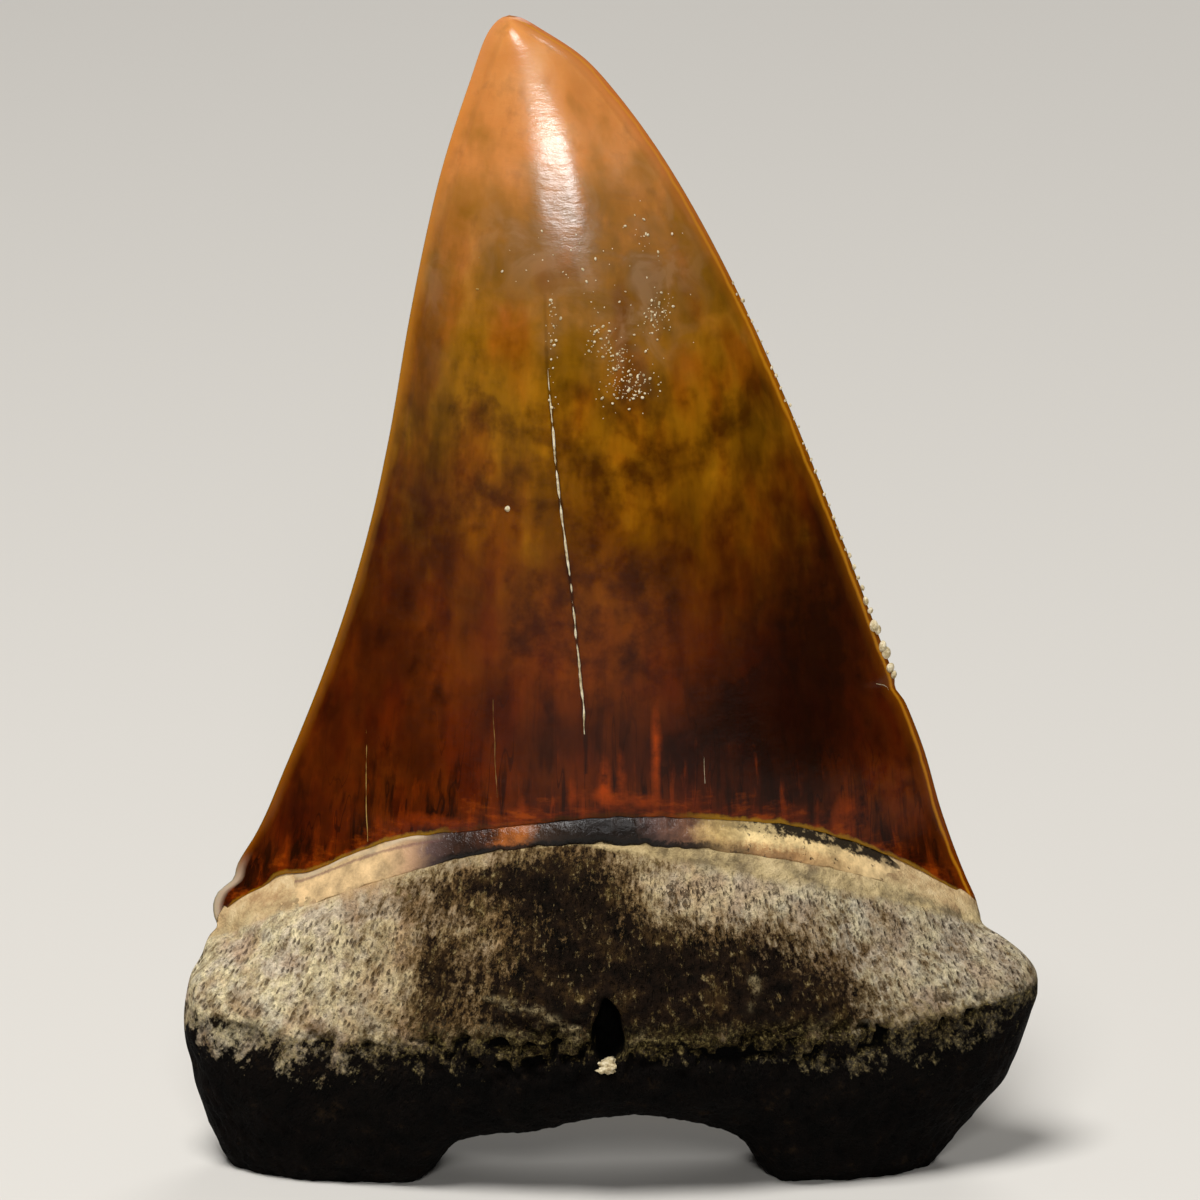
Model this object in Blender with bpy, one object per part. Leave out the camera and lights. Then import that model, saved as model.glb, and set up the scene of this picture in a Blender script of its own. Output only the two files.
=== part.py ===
"""Fossil tooth of the extinct white shark Carcharodon hubbelli, as one closed solid.

The tooth stands on its two root lobes. X runs to the right as the tongue side is seen, -Y faces the
tongue, +Y the lip, and +Z points to the tip. The origin is under the middle of the tooth, on the
surface that it stands on. Crown, bourlette and root grew as one piece, so they are one mesh.
"""

import math

import bmesh
import bpy
import numpy as np
from mathutils import Matrix, Vector, noise

MM = 0.001

# Driving dimensions, in millimetres.
TIP_HEIGHT = 61.1
TIP_X = -5.3
ENAMEL_STEP = 0.25
BOURLETTE_BULGE = 0.2
FEET_CUT = 1.1
FEET_FULLNESS = 2.8
ROOT_LUMPS = 0.3
SERRATION_PITCH = 0.74
SERRATION_RADIUS = 0.2

# The outline seen from the tongue side: height and x of its left and of its right edge.
LEFT_EDGE = (
    (TIP_HEIGHT, TIP_X), (60.35, -6.35), (57.95, -7.3), (52.2, -9.1), (45.3, -10.55), (38.4, -11.75),
    (34.9, -12.5), (28.0, -14.5), (21.0, -17.2), (17.2, -18.85), (15.6, -19.8), (14.7, -20.15),
    (14.3, -20.7), (13.7, -21.05), (13.0, -21.05), (12.4, -20.9), (12.1, -21.2), (11.1, -21.7),
    (10.4, -22.15), (9.3, -22.45), (8.0, -22.6), (6.3, -22.45), (5.6, -22.25), (4.4, -22.05),
    (3.0, -21.6), (2.0, -21.3), (0.0, -20.9),
)
RIGHT_EDGE = (
    (TIP_HEIGHT, TIP_X), (60.35, -3.5), (58.8, -1.2), (57.1, 0.35), (53.8, 2.75), (46.95, 6.5),
    (40.1, 9.5), (33.2, 12.2), (26.5, 14.7), (21.9, 16.5), (18.4, 17.5), (14.9, 18.8), (13.8, 19.3),
    (13.1, 19.5), (12.6, 19.7), (12.1, 20.6), (11.3, 21.75), (10.6, 22.35), (9.8, 22.55), (8.5, 22.3),
    (7.0, 21.85), (5.4, 21.25), (3.8, 20.25), (2.2, 18.9), (0.0, 17.8),
)

# Y of the cutting edges and of the sides of the root, by height.
SEAM = (
    (TIP_HEIGHT, 6.0), (59.4, 5.4), (57.6, 4.95), (54.0, 4.4), (50.0, 4.15), (45.0, 4.08), (40.0, 4.12),
    (35.0, 4.2), (20.0, 4.5), (15.0, 4.4), (13.0, 3.9), (11.0, 2.8), (9.0, 1.9), (6.5, 1.6), (3.0, 1.7),
    (0.0, 1.75),
)

# How far the crown stands out from its cutting edges at mid width, by height.
TONGUE_SWELL = (
    (TIP_HEIGHT, 0.0), (60.2, 1.05), (57.6, 1.9), (54.0, 2.75), (48.0, 3.9), (40.0, 5.1), (30.0, 6.4),
    (20.0, 7.5), (12.0, 7.9),
)
LIP_SWELL = (
    (TIP_HEIGHT, 0.0), (60.2, 0.5), (57.6, 0.75), (54.0, 0.95), (48.0, 1.2), (40.0, 1.45), (30.0, 1.75),
    (20.0, 2.0), (12.0, 2.1),
)

# Lines that run across the tooth, as x and height: the lower edge of the enamel on each side, the lower
# edge of the bourlette, the line where the root stands out furthest on each side, and the base.
ENAMEL_TONGUE = (
    (-20.9, 12.6), (-19.5, 14.15), (-17.9, 15.2), (-16.0, 15.95), (-12.8, 17.7), (-6.1, 19.6),
    (-0.5, 20.4), (6.0, 20.0), (10.3, 19.0), (14.8, 16.7), (19.4, 13.7),
)
BOURLETTE_LOW = (
    (-21.3, 12.0), (-16.6, 14.4), (-13.0, 16.0), (-9.0, 17.6), (-2.8, 18.9), (1.5, 18.9), (8.7, 17.8),
    (11.9, 16.8), (15.0, 15.5), (20.0, 13.1),
)
ENAMEL_LIP = (
    (-20.9, 12.6), (-19.4, 13.3), (-15.0, 14.3), (-8.0, 16.6), (0.0, 17.7), (8.0, 16.8), (14.0, 15.0),
    (19.4, 13.7),
)
NECK_LIP = (
    (-21.3, 12.0), (-15.0, 13.5), (-8.0, 15.7), (0.0, 16.8), (8.0, 15.9), (14.0, 14.2), (20.0, 13.1),
)
CREST_TONGUE = (
    (-22.5, 8.9), (-15.0, 8.2), (-8.0, 8.6), (0.0, 9.0), (8.0, 8.8), (15.0, 8.8), (22.5, 9.9),
)
HEEL_LIP = (
    (-22.5, 8.9), (-16.0, 6.0), (-8.0, 6.2), (0.0, 7.4), (8.0, 6.4), (14.0, 6.0), (22.5, 9.9),
)
BASE = (
    (-21.3, 2.2), (-20.5, 0.5), (-19.3, -0.6), (-17.0, -FEET_CUT), (-12.5, -FEET_CUT), (-10.4, -0.7),
    (-9.3, 0.4), (-8.4, 1.6), (-6.5, 2.4), (-3.7, 2.9), (-0.2, 3.5), (3.0, 3.3), (5.2, 2.6), (6.8, 1.8),
    (7.8, 0.4), (9.2, -0.8), (11.5, -FEET_CUT), (14.3, -FEET_CUT), (16.2, -0.5), (17.7, 0.8), (19.0, 2.5),
)

# Y of the base line, and how far the root stands out from the sides of the root.
BASE_Y = 1.75
CREST_OUT = 6.0
CREST_MIDDLE_OUT = 2.3
HEEL_OUT = 4.5
HEEL_HOLLOW = 0.8

# The curves of the faces across the tooth: a superellipse's power, and how sharply it meets the edges.
LENS_POWER = 2.2
CROWN_LENS, NECK_LENS = 1.15, 0.8
CREST_ROUND = 0.9

# Rows of the mesh from the tip down and columns across it. The crown's rows lie closer at both ends.
CROWN_ROWS, BOURLETTE_ROWS, ROOT_ROWS, UNDER_ROWS = 30, 3, 10, 11
COLUMNS = 34
ROW_CROWDING = 0.65

# The nutrient hole and the pits beside it, as x, height, half width, half height and depth.
FORAMEN = (-0.15, 9.8, 0.85, 1.95, 2.3)
PITS = (
    (-2.6, 8.7, 0.9, 0.45, 0.8), (-5.2, 8.9, 0.7, 0.35, 0.6), (3.4, 8.4, 0.8, 0.4, 0.6),
    (-9.5, 7.9, 0.9, 0.4, 0.6), (16.8, 9.3, 1.1, 0.45, 0.6), (18.4, 9.9, 0.7, 0.35, 0.5),
)

# The crumb of pale matrix stuck under the hole, as x, height, half width and half height.
CRUMB = (-0.25, 7.6, 0.8, 0.45)
CRUMB_HALF_DEPTH, CRUMB_SUNK = 1.0, 0.7

# The chip out of the right cutting edge: its height, how far out its middle is, and its half sizes.
CHIP_HEIGHT, CHIP_OUT = 25.3, 0.3
CHIP_SIZES = (0.55, 1.4, 0.5)
SERRATED_FROM, SERRATED_TO = 26.6, 47.5
SERRATION_SUNK = 0.06
ENAMEL_TUCK = 0.06


def smooth(points):
    """A smooth function through (place, value) points that lie in rising or falling order of place."""
    place, value = np.array(sorted(points), float).T
    slope = np.gradient(value, place)

    def at(x):
        x = np.clip(x, place[0], place[-1])
        i = np.clip(np.searchsorted(place, x, side="right") - 1, 0, len(place) - 2)
        step = place[i + 1] - place[i]
        t = (x - place[i]) / step
        start = (1 + 2 * t) * (1 - t) ** 2 * value[i] + t * (1 - t) ** 2 * step * slope[i]
        end = t**2 * (3 - 2 * t) * value[i + 1] + t**2 * (t - 1) * step * slope[i + 1]
        return start + end

    return at


def from_tip(points):
    """A smooth function of height that turns round at the tip, as a blunt point does."""
    by_root = smooth([(math.sqrt(TIP_HEIGHT - height), value) for height, value in points])
    return lambda height: by_root(np.sqrt(np.maximum(TIP_HEIGHT - height, 0.0)))


left_x, right_x = from_tip(LEFT_EDGE), from_tip(RIGHT_EDGE)
seam_y = from_tip(SEAM)
tongue_swell, lip_swell = from_tip(TONGUE_SWELL), from_tip(LIP_SWELL)


def across(line):
    """A line's height as a smooth function of the share of the width from the left edge."""
    shares = [((x - left_x(z)) / (right_x(z) - left_x(z)), z) for x, z in line]
    shares[0] = (0.0, line[0][1])
    shares[-1] = (1.0, line[-1][1])
    return smooth(shares)


def ease(low, high, value):
    t = np.clip((value - low) / (high - low), 0.0, 1.0)
    return t * t * (3 - 2 * t)


def columns(count):
    """Shares of the width, closer together towards the cutting edges."""
    even = np.linspace(-1.0, 1.0, count + 1)
    return 0.5 + 0.5 * (0.5 * even + 0.5 * np.sin(even * math.pi / 2))


def quarter(count):
    """Steps round the lower quarter of the root, as how far out and how far down each is."""
    turn = np.linspace(0.0, math.pi / 2, count + 1)[1:, None]
    return np.cos(turn).clip(0) ** (2 / FEET_FULLNESS), np.sin(turn) ** (2 / FEET_FULLNESS)


def side_points(enamel, neck, crest, swell, crest_out, bulge, towards):
    """One face of the tooth as rows of points, from the tip to the base line."""
    u = columns(COLUMNS)[None, :]
    s = 2 * u - 1
    lens = 1 - np.abs(s) ** LENS_POWER
    enamel_z, neck_z, crest_z, base_z = (across(line)(u) for line in (enamel, neck, crest, BASE))

    fall = np.linspace(0.0, 1.0, CROWN_ROWS + 1)[:, None]
    fall = ROW_CROWDING * (0.5 - 0.5 * np.cos(math.pi * fall)) + (1 - ROW_CROWDING) * fall
    crown_z = TIP_HEIGHT - (TIP_HEIGHT - enamel_z) * fall
    crown_y = seam_y(crown_z) + towards * swell(crown_z) * lens**CROWN_LENS

    share = np.linspace(0.0, 1.0, BOURLETTE_ROWS + 1)[:, None]
    band_top_z = enamel_z - ENAMEL_TUCK
    band_top_y = crown_y[-1:] - towards * ENAMEL_STEP * (1 - s**8)
    neck_y = seam_y(neck_z) + towards * swell(neck_z) * lens**NECK_LENS
    band_z = band_top_z + (neck_z - band_top_z) * share
    band_y = band_top_y + (neck_y - band_top_y) * share
    band_y += towards * bulge * np.sin(share * math.pi) * (1 - s**6)

    share = np.linspace(0.0, 1.0, ROOT_ROWS + 1)[1:, None]
    root_z = neck_z + (crest_z - neck_z) * share
    crest_y = seam_y(crest_z) + towards * crest_out(s)
    root_y = neck_y + (crest_y - neck_y) * np.sin(share * math.pi / 2) ** CREST_ROUND

    out, down = quarter(UNDER_ROWS)
    under_z = crest_z - (crest_z - base_z) * down
    under_y = BASE_Y + (crest_y - BASE_Y) * out

    z = np.concatenate([crown_z, band_z, root_z, under_z])
    y = np.concatenate([crown_y, band_y, root_y, under_y])
    x = left_x(z) + u * (right_x(z) - left_x(z))
    return np.stack([x, y, z], axis=-1)


def tongue_crest(s):
    return (CREST_OUT + CREST_MIDDLE_OUT * np.exp(-((s / 0.4) ** 2))) * np.sqrt(1 - np.abs(s) ** 3)


def lip_heel(s):
    return (HEEL_OUT - HEEL_HOLLOW * np.exp(-((s / 0.3) ** 2))) * np.sqrt(1 - s**4)


def lumpy(points):
    """The root's uneven surface: low lumps that leave the enamel, the sides and the base line alone."""
    x, y, z = np.moveaxis(points, -1, 0)
    down, along = np.gradient(points, axis=0), np.gradient(points, axis=1)
    normal = np.cross(down, along)
    normal /= np.maximum(np.linalg.norm(normal, axis=-1, keepdims=True), 1e-9)
    rows = np.arange(len(points))[:, None]
    root = ease(CROWN_ROWS + BOURLETTE_ROWS + 1, CROWN_ROWS + BOURLETTE_ROWS + 5, rows)
    root = root * ease(len(points) - 1, len(points) - 6, rows)
    root[:, 0] = root[:, -1] = 0.0
    for row, column in zip(*np.nonzero(root > 0)):
        place = Vector(points[row, column])
        lump = noise.noise(place / 4.5) + 0.6 * noise.noise(place / 1.9 + Vector((7, 3, 1)))
        points[row, column] += normal[row, column] * root[row, column] * ROOT_LUMPS * lump
    return points


def tooth_mesh():
    """Both faces of the tooth, sewn along the cutting edges, the sides of the root and the base line."""
    tongue = side_points(
        ENAMEL_TONGUE, BOURLETTE_LOW, CREST_TONGUE, tongue_swell, tongue_crest, BOURLETTE_BULGE, -1
    )
    lip = side_points(ENAMEL_LIP, NECK_LIP, HEEL_LIP, lip_swell, lip_heel, 0.0, 1)
    lip[:, 0], lip[:, -1], lip[-1] = tongue[:, 0], tongue[:, -1], tongue[-1]
    tongue, lip = lumpy(tongue), lumpy(lip)

    mesh = bmesh.new()
    tip = mesh.verts.new(Vector(tongue[0, 0]) * MM)
    last_row, last_column = len(tongue) - 1, COLUMNS
    shared = {}
    for points, turned in ((tongue, False), (lip, True)):
        grid = {}
        for row in range(1, last_row + 1):
            for column in range(last_column + 1):
                rim = column in (0, last_column) or row == last_row
                if rim and (row, column) in shared:
                    grid[row, column] = shared[row, column]
                    continue
                grid[row, column] = mesh.verts.new(Vector(points[row, column]) * MM)
                if rim:
                    shared[row, column] = grid[row, column]
        for column in range(last_column):
            corners = [tip, grid[1, column], grid[1, column + 1]]
            mesh.faces.new(corners[::-1] if turned else corners)
            for row in range(1, last_row):
                corners = [grid[row, column], grid[row + 1, column]]
                corners += [grid[row + 1, column + 1], grid[row, column + 1]]
                mesh.faces.new(corners[::-1] if turned else corners)
    bmesh.ops.triangulate(mesh, faces=mesh.faces[:])
    return mesh


def cut_feet(mesh):
    """Both lobes cut flat at z = 0, where they touch the surface below."""
    everything = mesh.verts[:] + mesh.edges[:] + mesh.faces[:]
    cut = bmesh.ops.bisect_plane(
        mesh, geom=everything, dist=1e-6, plane_co=(0, 0, 0), plane_no=(0, 0, 1), clear_inner=True
    )
    rim = [item for item in cut["geom_cut"] if isinstance(item, bmesh.types.BMEdge)]
    bmesh.ops.holes_fill(mesh, edges=rim, sides=0)
    bmesh.ops.dissolve_degenerate(mesh, edges=mesh.edges[:], dist=2e-5)
    bmesh.ops.triangulate(mesh, faces=mesh.faces[:])


def add_object(name, mesh, material=None):
    data = bpy.data.meshes.new(name)
    mesh.to_mesh(data)
    mesh.free()
    item = bpy.data.objects.new(name, data)
    bpy.context.scene.collection.objects.link(item)
    if material:
        data.materials.append(material)
    return item


def guide(name, mesh):
    """A shape that only cuts or adds to the tooth."""
    item = add_object(name, mesh)
    item.hide_render = True
    item.display_type = "WIRE"
    return item


def combine(target, other, operation):
    boolean = target.modifiers.new(other.name, "BOOLEAN")
    boolean.object = other
    boolean.operation = operation
    boolean.solver = "EXACT"


def surface_y(x, z):
    """Y of the tongue face of the root at a place between its neck and its crest."""
    u = (x - left_x(z)) / (right_x(z) - left_x(z))
    s = 2 * u - 1
    neck_z, crest_z = across(BOURLETTE_LOW)(u), across(CREST_TONGUE)(u)
    neck_y = seam_y(neck_z) - tongue_swell(neck_z) * (1 - np.abs(s) ** LENS_POWER) ** NECK_LENS
    crest_y = seam_y(crest_z) - tongue_crest(s)
    share = np.clip((neck_z - z) / (neck_z - crest_z), 0.0, 1.0)
    return float(neck_y + (crest_y - neck_y) * np.sin(share * math.pi / 2) ** CREST_ROUND)


def add_ball(mesh, centre, radii, subdivisions):
    place = Matrix.Translation(Vector(centre) * MM) @ Matrix.Diagonal((*(Vector(radii) * MM), 1.0))
    bmesh.ops.create_icosphere(mesh, subdivisions=subdivisions, radius=1.0, matrix=place)


def root_holes():
    """The nutrient hole and the larger pits near the crest, as tapered balls sunk into the surface."""
    mesh = bmesh.new()
    for x, z, half_width, half_height, depth in (FORAMEN, *PITS):
        add_ball(mesh, (x, surface_y(x, z), z), (half_width, depth, half_height), 2)
    return guide("root_holes", mesh)


def chip():
    """The chip out of the right cutting edge, below the serration."""
    mesh = bmesh.new()
    centre = (float(right_x(CHIP_HEIGHT)) + CHIP_OUT, float(seam_y(CHIP_HEIGHT)), CHIP_HEIGHT)
    add_ball(mesh, centre, CHIP_SIZES, 2)
    return guide("chip", mesh)


def serration():
    """The worn serration that is left on the right cutting edge, a row of small beads."""
    mesh = bmesh.new()
    z = SERRATED_FROM
    while z < SERRATED_TO:
        centre = (float(right_x(z)) - SERRATION_SUNK, float(seam_y(z)), z)
        add_ball(mesh, centre, (SERRATION_RADIUS, SERRATION_RADIUS, 1.3 * SERRATION_RADIUS), 1)
        z += SERRATION_PITCH
    return guide("serration", mesh)


def crumb():
    """The crumb of matrix that is stuck on the root below the nutrient hole."""
    mesh = bmesh.new()
    x, z, half_width, half_height = CRUMB
    radii = (half_width, CRUMB_HALF_DEPTH, half_height)
    add_ball(mesh, (x, surface_y(x, z) + CRUMB_SUNK, z), radii, 2)
    return guide("crumb", mesh)


def finish(name, colour, roughness):
    material = bpy.data.materials.new(name)
    material.use_nodes = True
    shader = material.node_tree.nodes["Principled BSDF"]
    shader.inputs["Base Color"].default_value = (*colour, 1.0)
    shader.inputs["Roughness"].default_value = roughness
    return material


for item in list(bpy.data.objects):
    bpy.data.objects.remove(item)

enamel = finish("amber enamel", (0.27, 0.09, 0.02), 0.2)
dentine = finish("porous root dentine", (0.42, 0.34, 0.24), 0.85)

tooth_shape = tooth_mesh()
cut_feet(tooth_shape)
tooth = add_object("tooth", tooth_shape, enamel)
tooth.data.materials.append(dentine)
enamel_edge = across(ENAMEL_TONGUE)
for face in tooth.data.polygons:
    x, z = face.center.x / MM, face.center.z / MM
    share = (x - left_x(z)) / (right_x(z) - left_x(z))
    face.material_index = int(z < enamel_edge(share))
combine(tooth, root_holes(), "DIFFERENCE")
combine(tooth, chip(), "DIFFERENCE")
combine(tooth, serration(), "UNION")
combine(tooth, crumb(), "UNION")
tooth.data.shade_smooth()
tooth.data.set_sharp_from_angle(angle=math.radians(35))
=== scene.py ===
"""Looks of a fossil tooth of Carcharodon hubbelli: porous root, glossy bourlette and amber enamel.

X runs to the right as the tongue side is seen, -Y faces the tongue and +Z points to the tip. Sizes are
in millimetres, and every mesh is made in metres.
"""

import math

import bmesh
import bpy
import numpy as np
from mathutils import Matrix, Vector, noise


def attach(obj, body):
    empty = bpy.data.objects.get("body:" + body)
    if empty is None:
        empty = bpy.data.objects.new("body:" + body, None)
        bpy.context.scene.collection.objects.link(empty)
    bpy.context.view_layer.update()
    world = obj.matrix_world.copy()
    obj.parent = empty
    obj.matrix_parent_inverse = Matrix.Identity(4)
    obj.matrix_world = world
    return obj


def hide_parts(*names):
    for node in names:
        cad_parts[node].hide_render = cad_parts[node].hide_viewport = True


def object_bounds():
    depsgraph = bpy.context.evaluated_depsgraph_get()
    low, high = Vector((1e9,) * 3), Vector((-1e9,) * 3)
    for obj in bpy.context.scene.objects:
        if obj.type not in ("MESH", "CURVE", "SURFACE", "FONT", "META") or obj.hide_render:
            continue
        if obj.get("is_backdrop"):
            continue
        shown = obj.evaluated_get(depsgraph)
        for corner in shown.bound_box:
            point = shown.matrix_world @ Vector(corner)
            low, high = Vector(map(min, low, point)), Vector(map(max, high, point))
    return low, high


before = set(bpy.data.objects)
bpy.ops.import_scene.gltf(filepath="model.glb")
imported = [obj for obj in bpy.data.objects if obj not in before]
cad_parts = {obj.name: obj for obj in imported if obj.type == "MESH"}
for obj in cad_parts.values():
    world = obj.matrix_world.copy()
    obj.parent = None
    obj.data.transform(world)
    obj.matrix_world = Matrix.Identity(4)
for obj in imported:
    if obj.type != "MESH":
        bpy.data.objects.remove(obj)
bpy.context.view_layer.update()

# Root
# The two-lobed root is porous dentine, grown in one piece with the crown and turned to stone. It is pale
# and gritty, with rows of tiny pores, and soaked dark brown round its nutrient hole. Painted shade makes
# it nearly black under its crest, and darkens its pores, its hollows and the hole.

MM = 0.001
TIP_HEIGHT, TIP_X = 61.1, -5.3

# The outline seen from the tongue side: height and x of its left and of its right edge.
LEFT_EDGE = (
    (TIP_HEIGHT, TIP_X), (60.35, -6.35), (57.95, -7.3), (52.2, -9.1), (45.3, -10.55), (38.4, -11.75),
    (34.9, -12.5), (28.0, -14.5), (21.0, -17.2), (17.2, -18.85), (15.6, -19.8), (14.7, -20.15),
    (14.3, -20.7), (13.7, -21.05), (13.0, -21.05), (12.4, -20.9), (12.1, -21.2), (11.1, -21.7),
    (10.4, -22.15), (9.3, -22.45), (8.0, -22.6), (6.3, -22.45), (5.6, -22.25), (4.4, -22.05),
    (3.0, -21.6), (2.0, -21.3), (0.0, -20.9),
)
RIGHT_EDGE = (
    (TIP_HEIGHT, TIP_X), (60.35, -3.5), (58.8, -1.2), (57.1, 0.35), (53.8, 2.75), (46.95, 6.5),
    (40.1, 9.5), (33.2, 12.2), (26.5, 14.7), (21.9, 16.5), (18.4, 17.5), (14.9, 18.8), (13.8, 19.3),
    (13.1, 19.5), (12.6, 19.7), (12.1, 20.6), (11.3, 21.75), (10.6, 22.35), (9.8, 22.55), (8.5, 22.3),
    (7.0, 21.85), (5.4, 21.25), (3.8, 20.25), (2.2, 18.9), (0.0, 17.8),
)

# Y of the cutting edges and of the sides of the root, and how far the crown swells from them, by height.
SEAM = (
    (TIP_HEIGHT, 6.0), (59.4, 5.4), (57.6, 4.95), (54.0, 4.4), (50.0, 4.15), (45.0, 4.08), (40.0, 4.12),
    (35.0, 4.2), (20.0, 4.5), (15.0, 4.4), (13.0, 3.9), (11.0, 2.8), (9.0, 1.9), (6.5, 1.6), (3.0, 1.7),
    (0.0, 1.75),
)
TONGUE_SWELL = (
    (TIP_HEIGHT, 0.0), (60.2, 1.05), (57.6, 1.9), (54.0, 2.75), (48.0, 3.9), (40.0, 5.1), (30.0, 6.4),
    (20.0, 7.5), (12.0, 7.9),
)
LIP_SWELL = (
    (TIP_HEIGHT, 0.0), (60.2, 0.5), (57.6, 0.75), (54.0, 0.95), (48.0, 1.2), (40.0, 1.45), (30.0, 1.75),
    (20.0, 2.0), (12.0, 2.1),
)
LENS_POWER, CROWN_LENS, NECK_LENS, CREST_ROUND = 2.2, 1.15, 0.8, 0.9

# Lines that run across the tooth, as x and height: the lower edge of the enamel on each side, the neck of
# the root, the line where the root stands out furthest, and the base.
ENAMEL_TONGUE = (
    (-20.9, 12.6), (-19.5, 14.15), (-17.9, 15.2), (-16.0, 15.95), (-12.8, 17.7), (-6.1, 19.6),
    (-0.5, 20.4), (6.0, 20.0), (10.3, 19.0), (14.8, 16.7), (19.4, 13.7),
)
NECK_TONGUE = (
    (-21.3, 12.0), (-16.6, 14.4), (-13.0, 16.0), (-9.0, 17.6), (-2.8, 18.9), (1.5, 18.9), (8.7, 17.8),
    (11.9, 16.8), (15.0, 15.5), (20.0, 13.1),
)
ENAMEL_LIP = (
    (-20.9, 12.6), (-19.4, 13.3), (-15.0, 14.3), (-8.0, 16.6), (0.0, 17.7), (8.0, 16.8), (14.0, 15.0),
    (19.4, 13.7),
)
NECK_LIP = (
    (-21.3, 12.0), (-15.0, 13.5), (-8.0, 15.7), (0.0, 16.8), (8.0, 15.9), (14.0, 14.2), (20.0, 13.1),
)
CREST_TONGUE = (
    (-22.5, 8.9), (-15.0, 8.2), (-8.0, 8.6), (0.0, 9.0), (8.0, 8.8), (15.0, 8.8), (22.5, 9.9),
)
HEEL_LIP = (
    (-22.5, 8.9), (-16.0, 6.0), (-8.0, 6.2), (0.0, 7.4), (8.0, 6.4), (14.0, 6.0), (22.5, 9.9),
)
FOOT_CUT = -1.1
BASE = (
    (-21.3, 2.2), (-20.5, 0.5), (-19.3, -0.6), (-17.0, FOOT_CUT), (-12.5, FOOT_CUT), (-10.4, -0.7),
    (-9.3, 0.4), (-8.4, 1.6), (-6.5, 2.4), (-3.7, 2.9), (-0.2, 3.5), (3.0, 3.3), (5.2, 2.6), (6.8, 1.8),
    (7.8, 0.4), (9.2, -0.8), (11.5, FOOT_CUT), (14.3, FOOT_CUT), (16.2, -0.5), (17.7, 0.8), (19.0, 2.5),
)
BASE_Y = 1.75
CREST_OUT, CREST_MIDDLE_OUT = 6.0, 2.3
HEEL_OUT, HEEL_HOLLOW = 4.5, 0.8
FEET_FULLNESS = 2.8
ENAMEL_STEP = 0.25

ROOT_COLUMNS, ROOT_LIP_COLUMNS = 440, 110
TUCKED_ROWS, NECK_ROWS, ROOT_ROWS, UNDER_ROWS = 2, 6, 112, 60

# The pores lean towards the crown, as lines of a fan do that opens from this height.
FAN_FROM, FAN_LENGTH = 10.0, 36.0

# The nutrient hole, as x, height, half width, half height and depth.
HOLE = (-0.15, 9.55, 0.8, 1.85, 2.5)

# Thin pale ledges left standing round the hole and along the crest: their route, as x and height, with
# half width and rise.
LEDGES = (
    (((-6.4, 11.2), (-4.6, 10.9), (-3.0, 10.4), (-1.8, 9.7), (-1.0, 9.5)), 0.17, 0.3),
    (((-3.0, 9.0), (-2.0, 8.9), (-1.0, 8.6)), 0.26, 0.26),
    (((0.55, 7.5), (0.65, 8.1), (0.85, 8.8), (1.5, 9.4), (2.3, 9.3)), 0.17, 0.36),
    (((-8.8, 8.1), (-7.3, 8.7), (-5.9, 8.6), (-4.4, 9.1)), 0.24, 0.22),
    (((3.4, 9.0), (4.3, 9.2), (5.2, 8.8), (5.9, 8.3)), 0.12, 0.2),
    (((6.6, 8.3), (8.0, 8.5), (9.4, 8.2)), 0.12, 0.16),
    (((7.3, 12.6), (7.5, 11.6), (7.2, 10.6)), 0.14, 0.14),
    (((15.6, 10.4), (17.3, 9.5), (19.2, 9.9)), 0.2, 0.2),
)

# Where the stone is soaked dark, as x, height, half width, half height and strength.
STAINS = (
    (-2.0, 16.2, 3.6, 3.6, 1.3), (0.8, 11.5, 5.2, 3.4, 1.3), (6.4, 11.9, 5.2, 2.6, 1.35),
    (10.2, 9.9, 3.6, 1.9, 1.1), (-9.4, 12.4, 1.3, 2.8, 0.8), (-5.4, 17.0, 2.8, 1.0, 0.8),
    (-8.9, 16.2, 2.2, 1.2, 0.5), (-9.2, 9.2, 2.6, 1.2, 0.5), (6.4, 16.5, 4.0, 1.2, -0.8),
    (17.4, 9.3, 2.4, 0.7, 0.45), (-14.2, 8.6, 2.2, 0.7, 0.3), (-4.4, 10.6, 3.2, 2.4, 1.0),
    (8.0, 15.6, 0.5, 0.9, 0.35), (-12.2, 13.8, 0.6, 0.9, 0.25), (-7.2, 13.0, 2.4, 3.6, 0.3),
)
LIP_STAINS = ((2.0, 9.0, 9.0, 4.0, 0.5), (-9.0, 12.0, 4.0, 2.0, 0.4), (12.0, 6.0, 6.0, 2.0, 0.4))

# Where the crest crumbles, as x, height, half width, half height and strength.
CRUMBLING = (
    (-4.5, 8.5, 4.6, 1.3, 1.0), (6.5, 8.3, 5.0, 1.0, 0.7), (17.0, 9.2, 3.6, 0.9, 0.9),
    (-12.5, 7.9, 4.0, 0.8, 0.5), (12.0, 8.3, 3.0, 0.8, 0.7), (-19.5, 8.3, 2.5, 0.6, 0.4),
)

# How high the relief of the root stands or how deep it goes: broad lumps, coarse and fine grit, pores,
# crumbled hollows and the lumps left between them.
LUMP_RISE, GRIT_RISE, FINE_GRIT_RISE, PIT_DEPTH, HOLLOW_DEPTH, CRUMB_RISE = 0.3, 0.09, 0.08, 0.1, 0.8, 0.22
PIT_SPACING, PIT_SHARE, PIT_RADIUS = (0.42, 0.42, 0.62), 0.4, 0.42

# How far the root reaches up and in behind the enamel, and how far the hole's rim wanders.
TUCK_UP, TUCK_IN, HOLE_WANDER = 1.2, 0.7, 0.3


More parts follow.
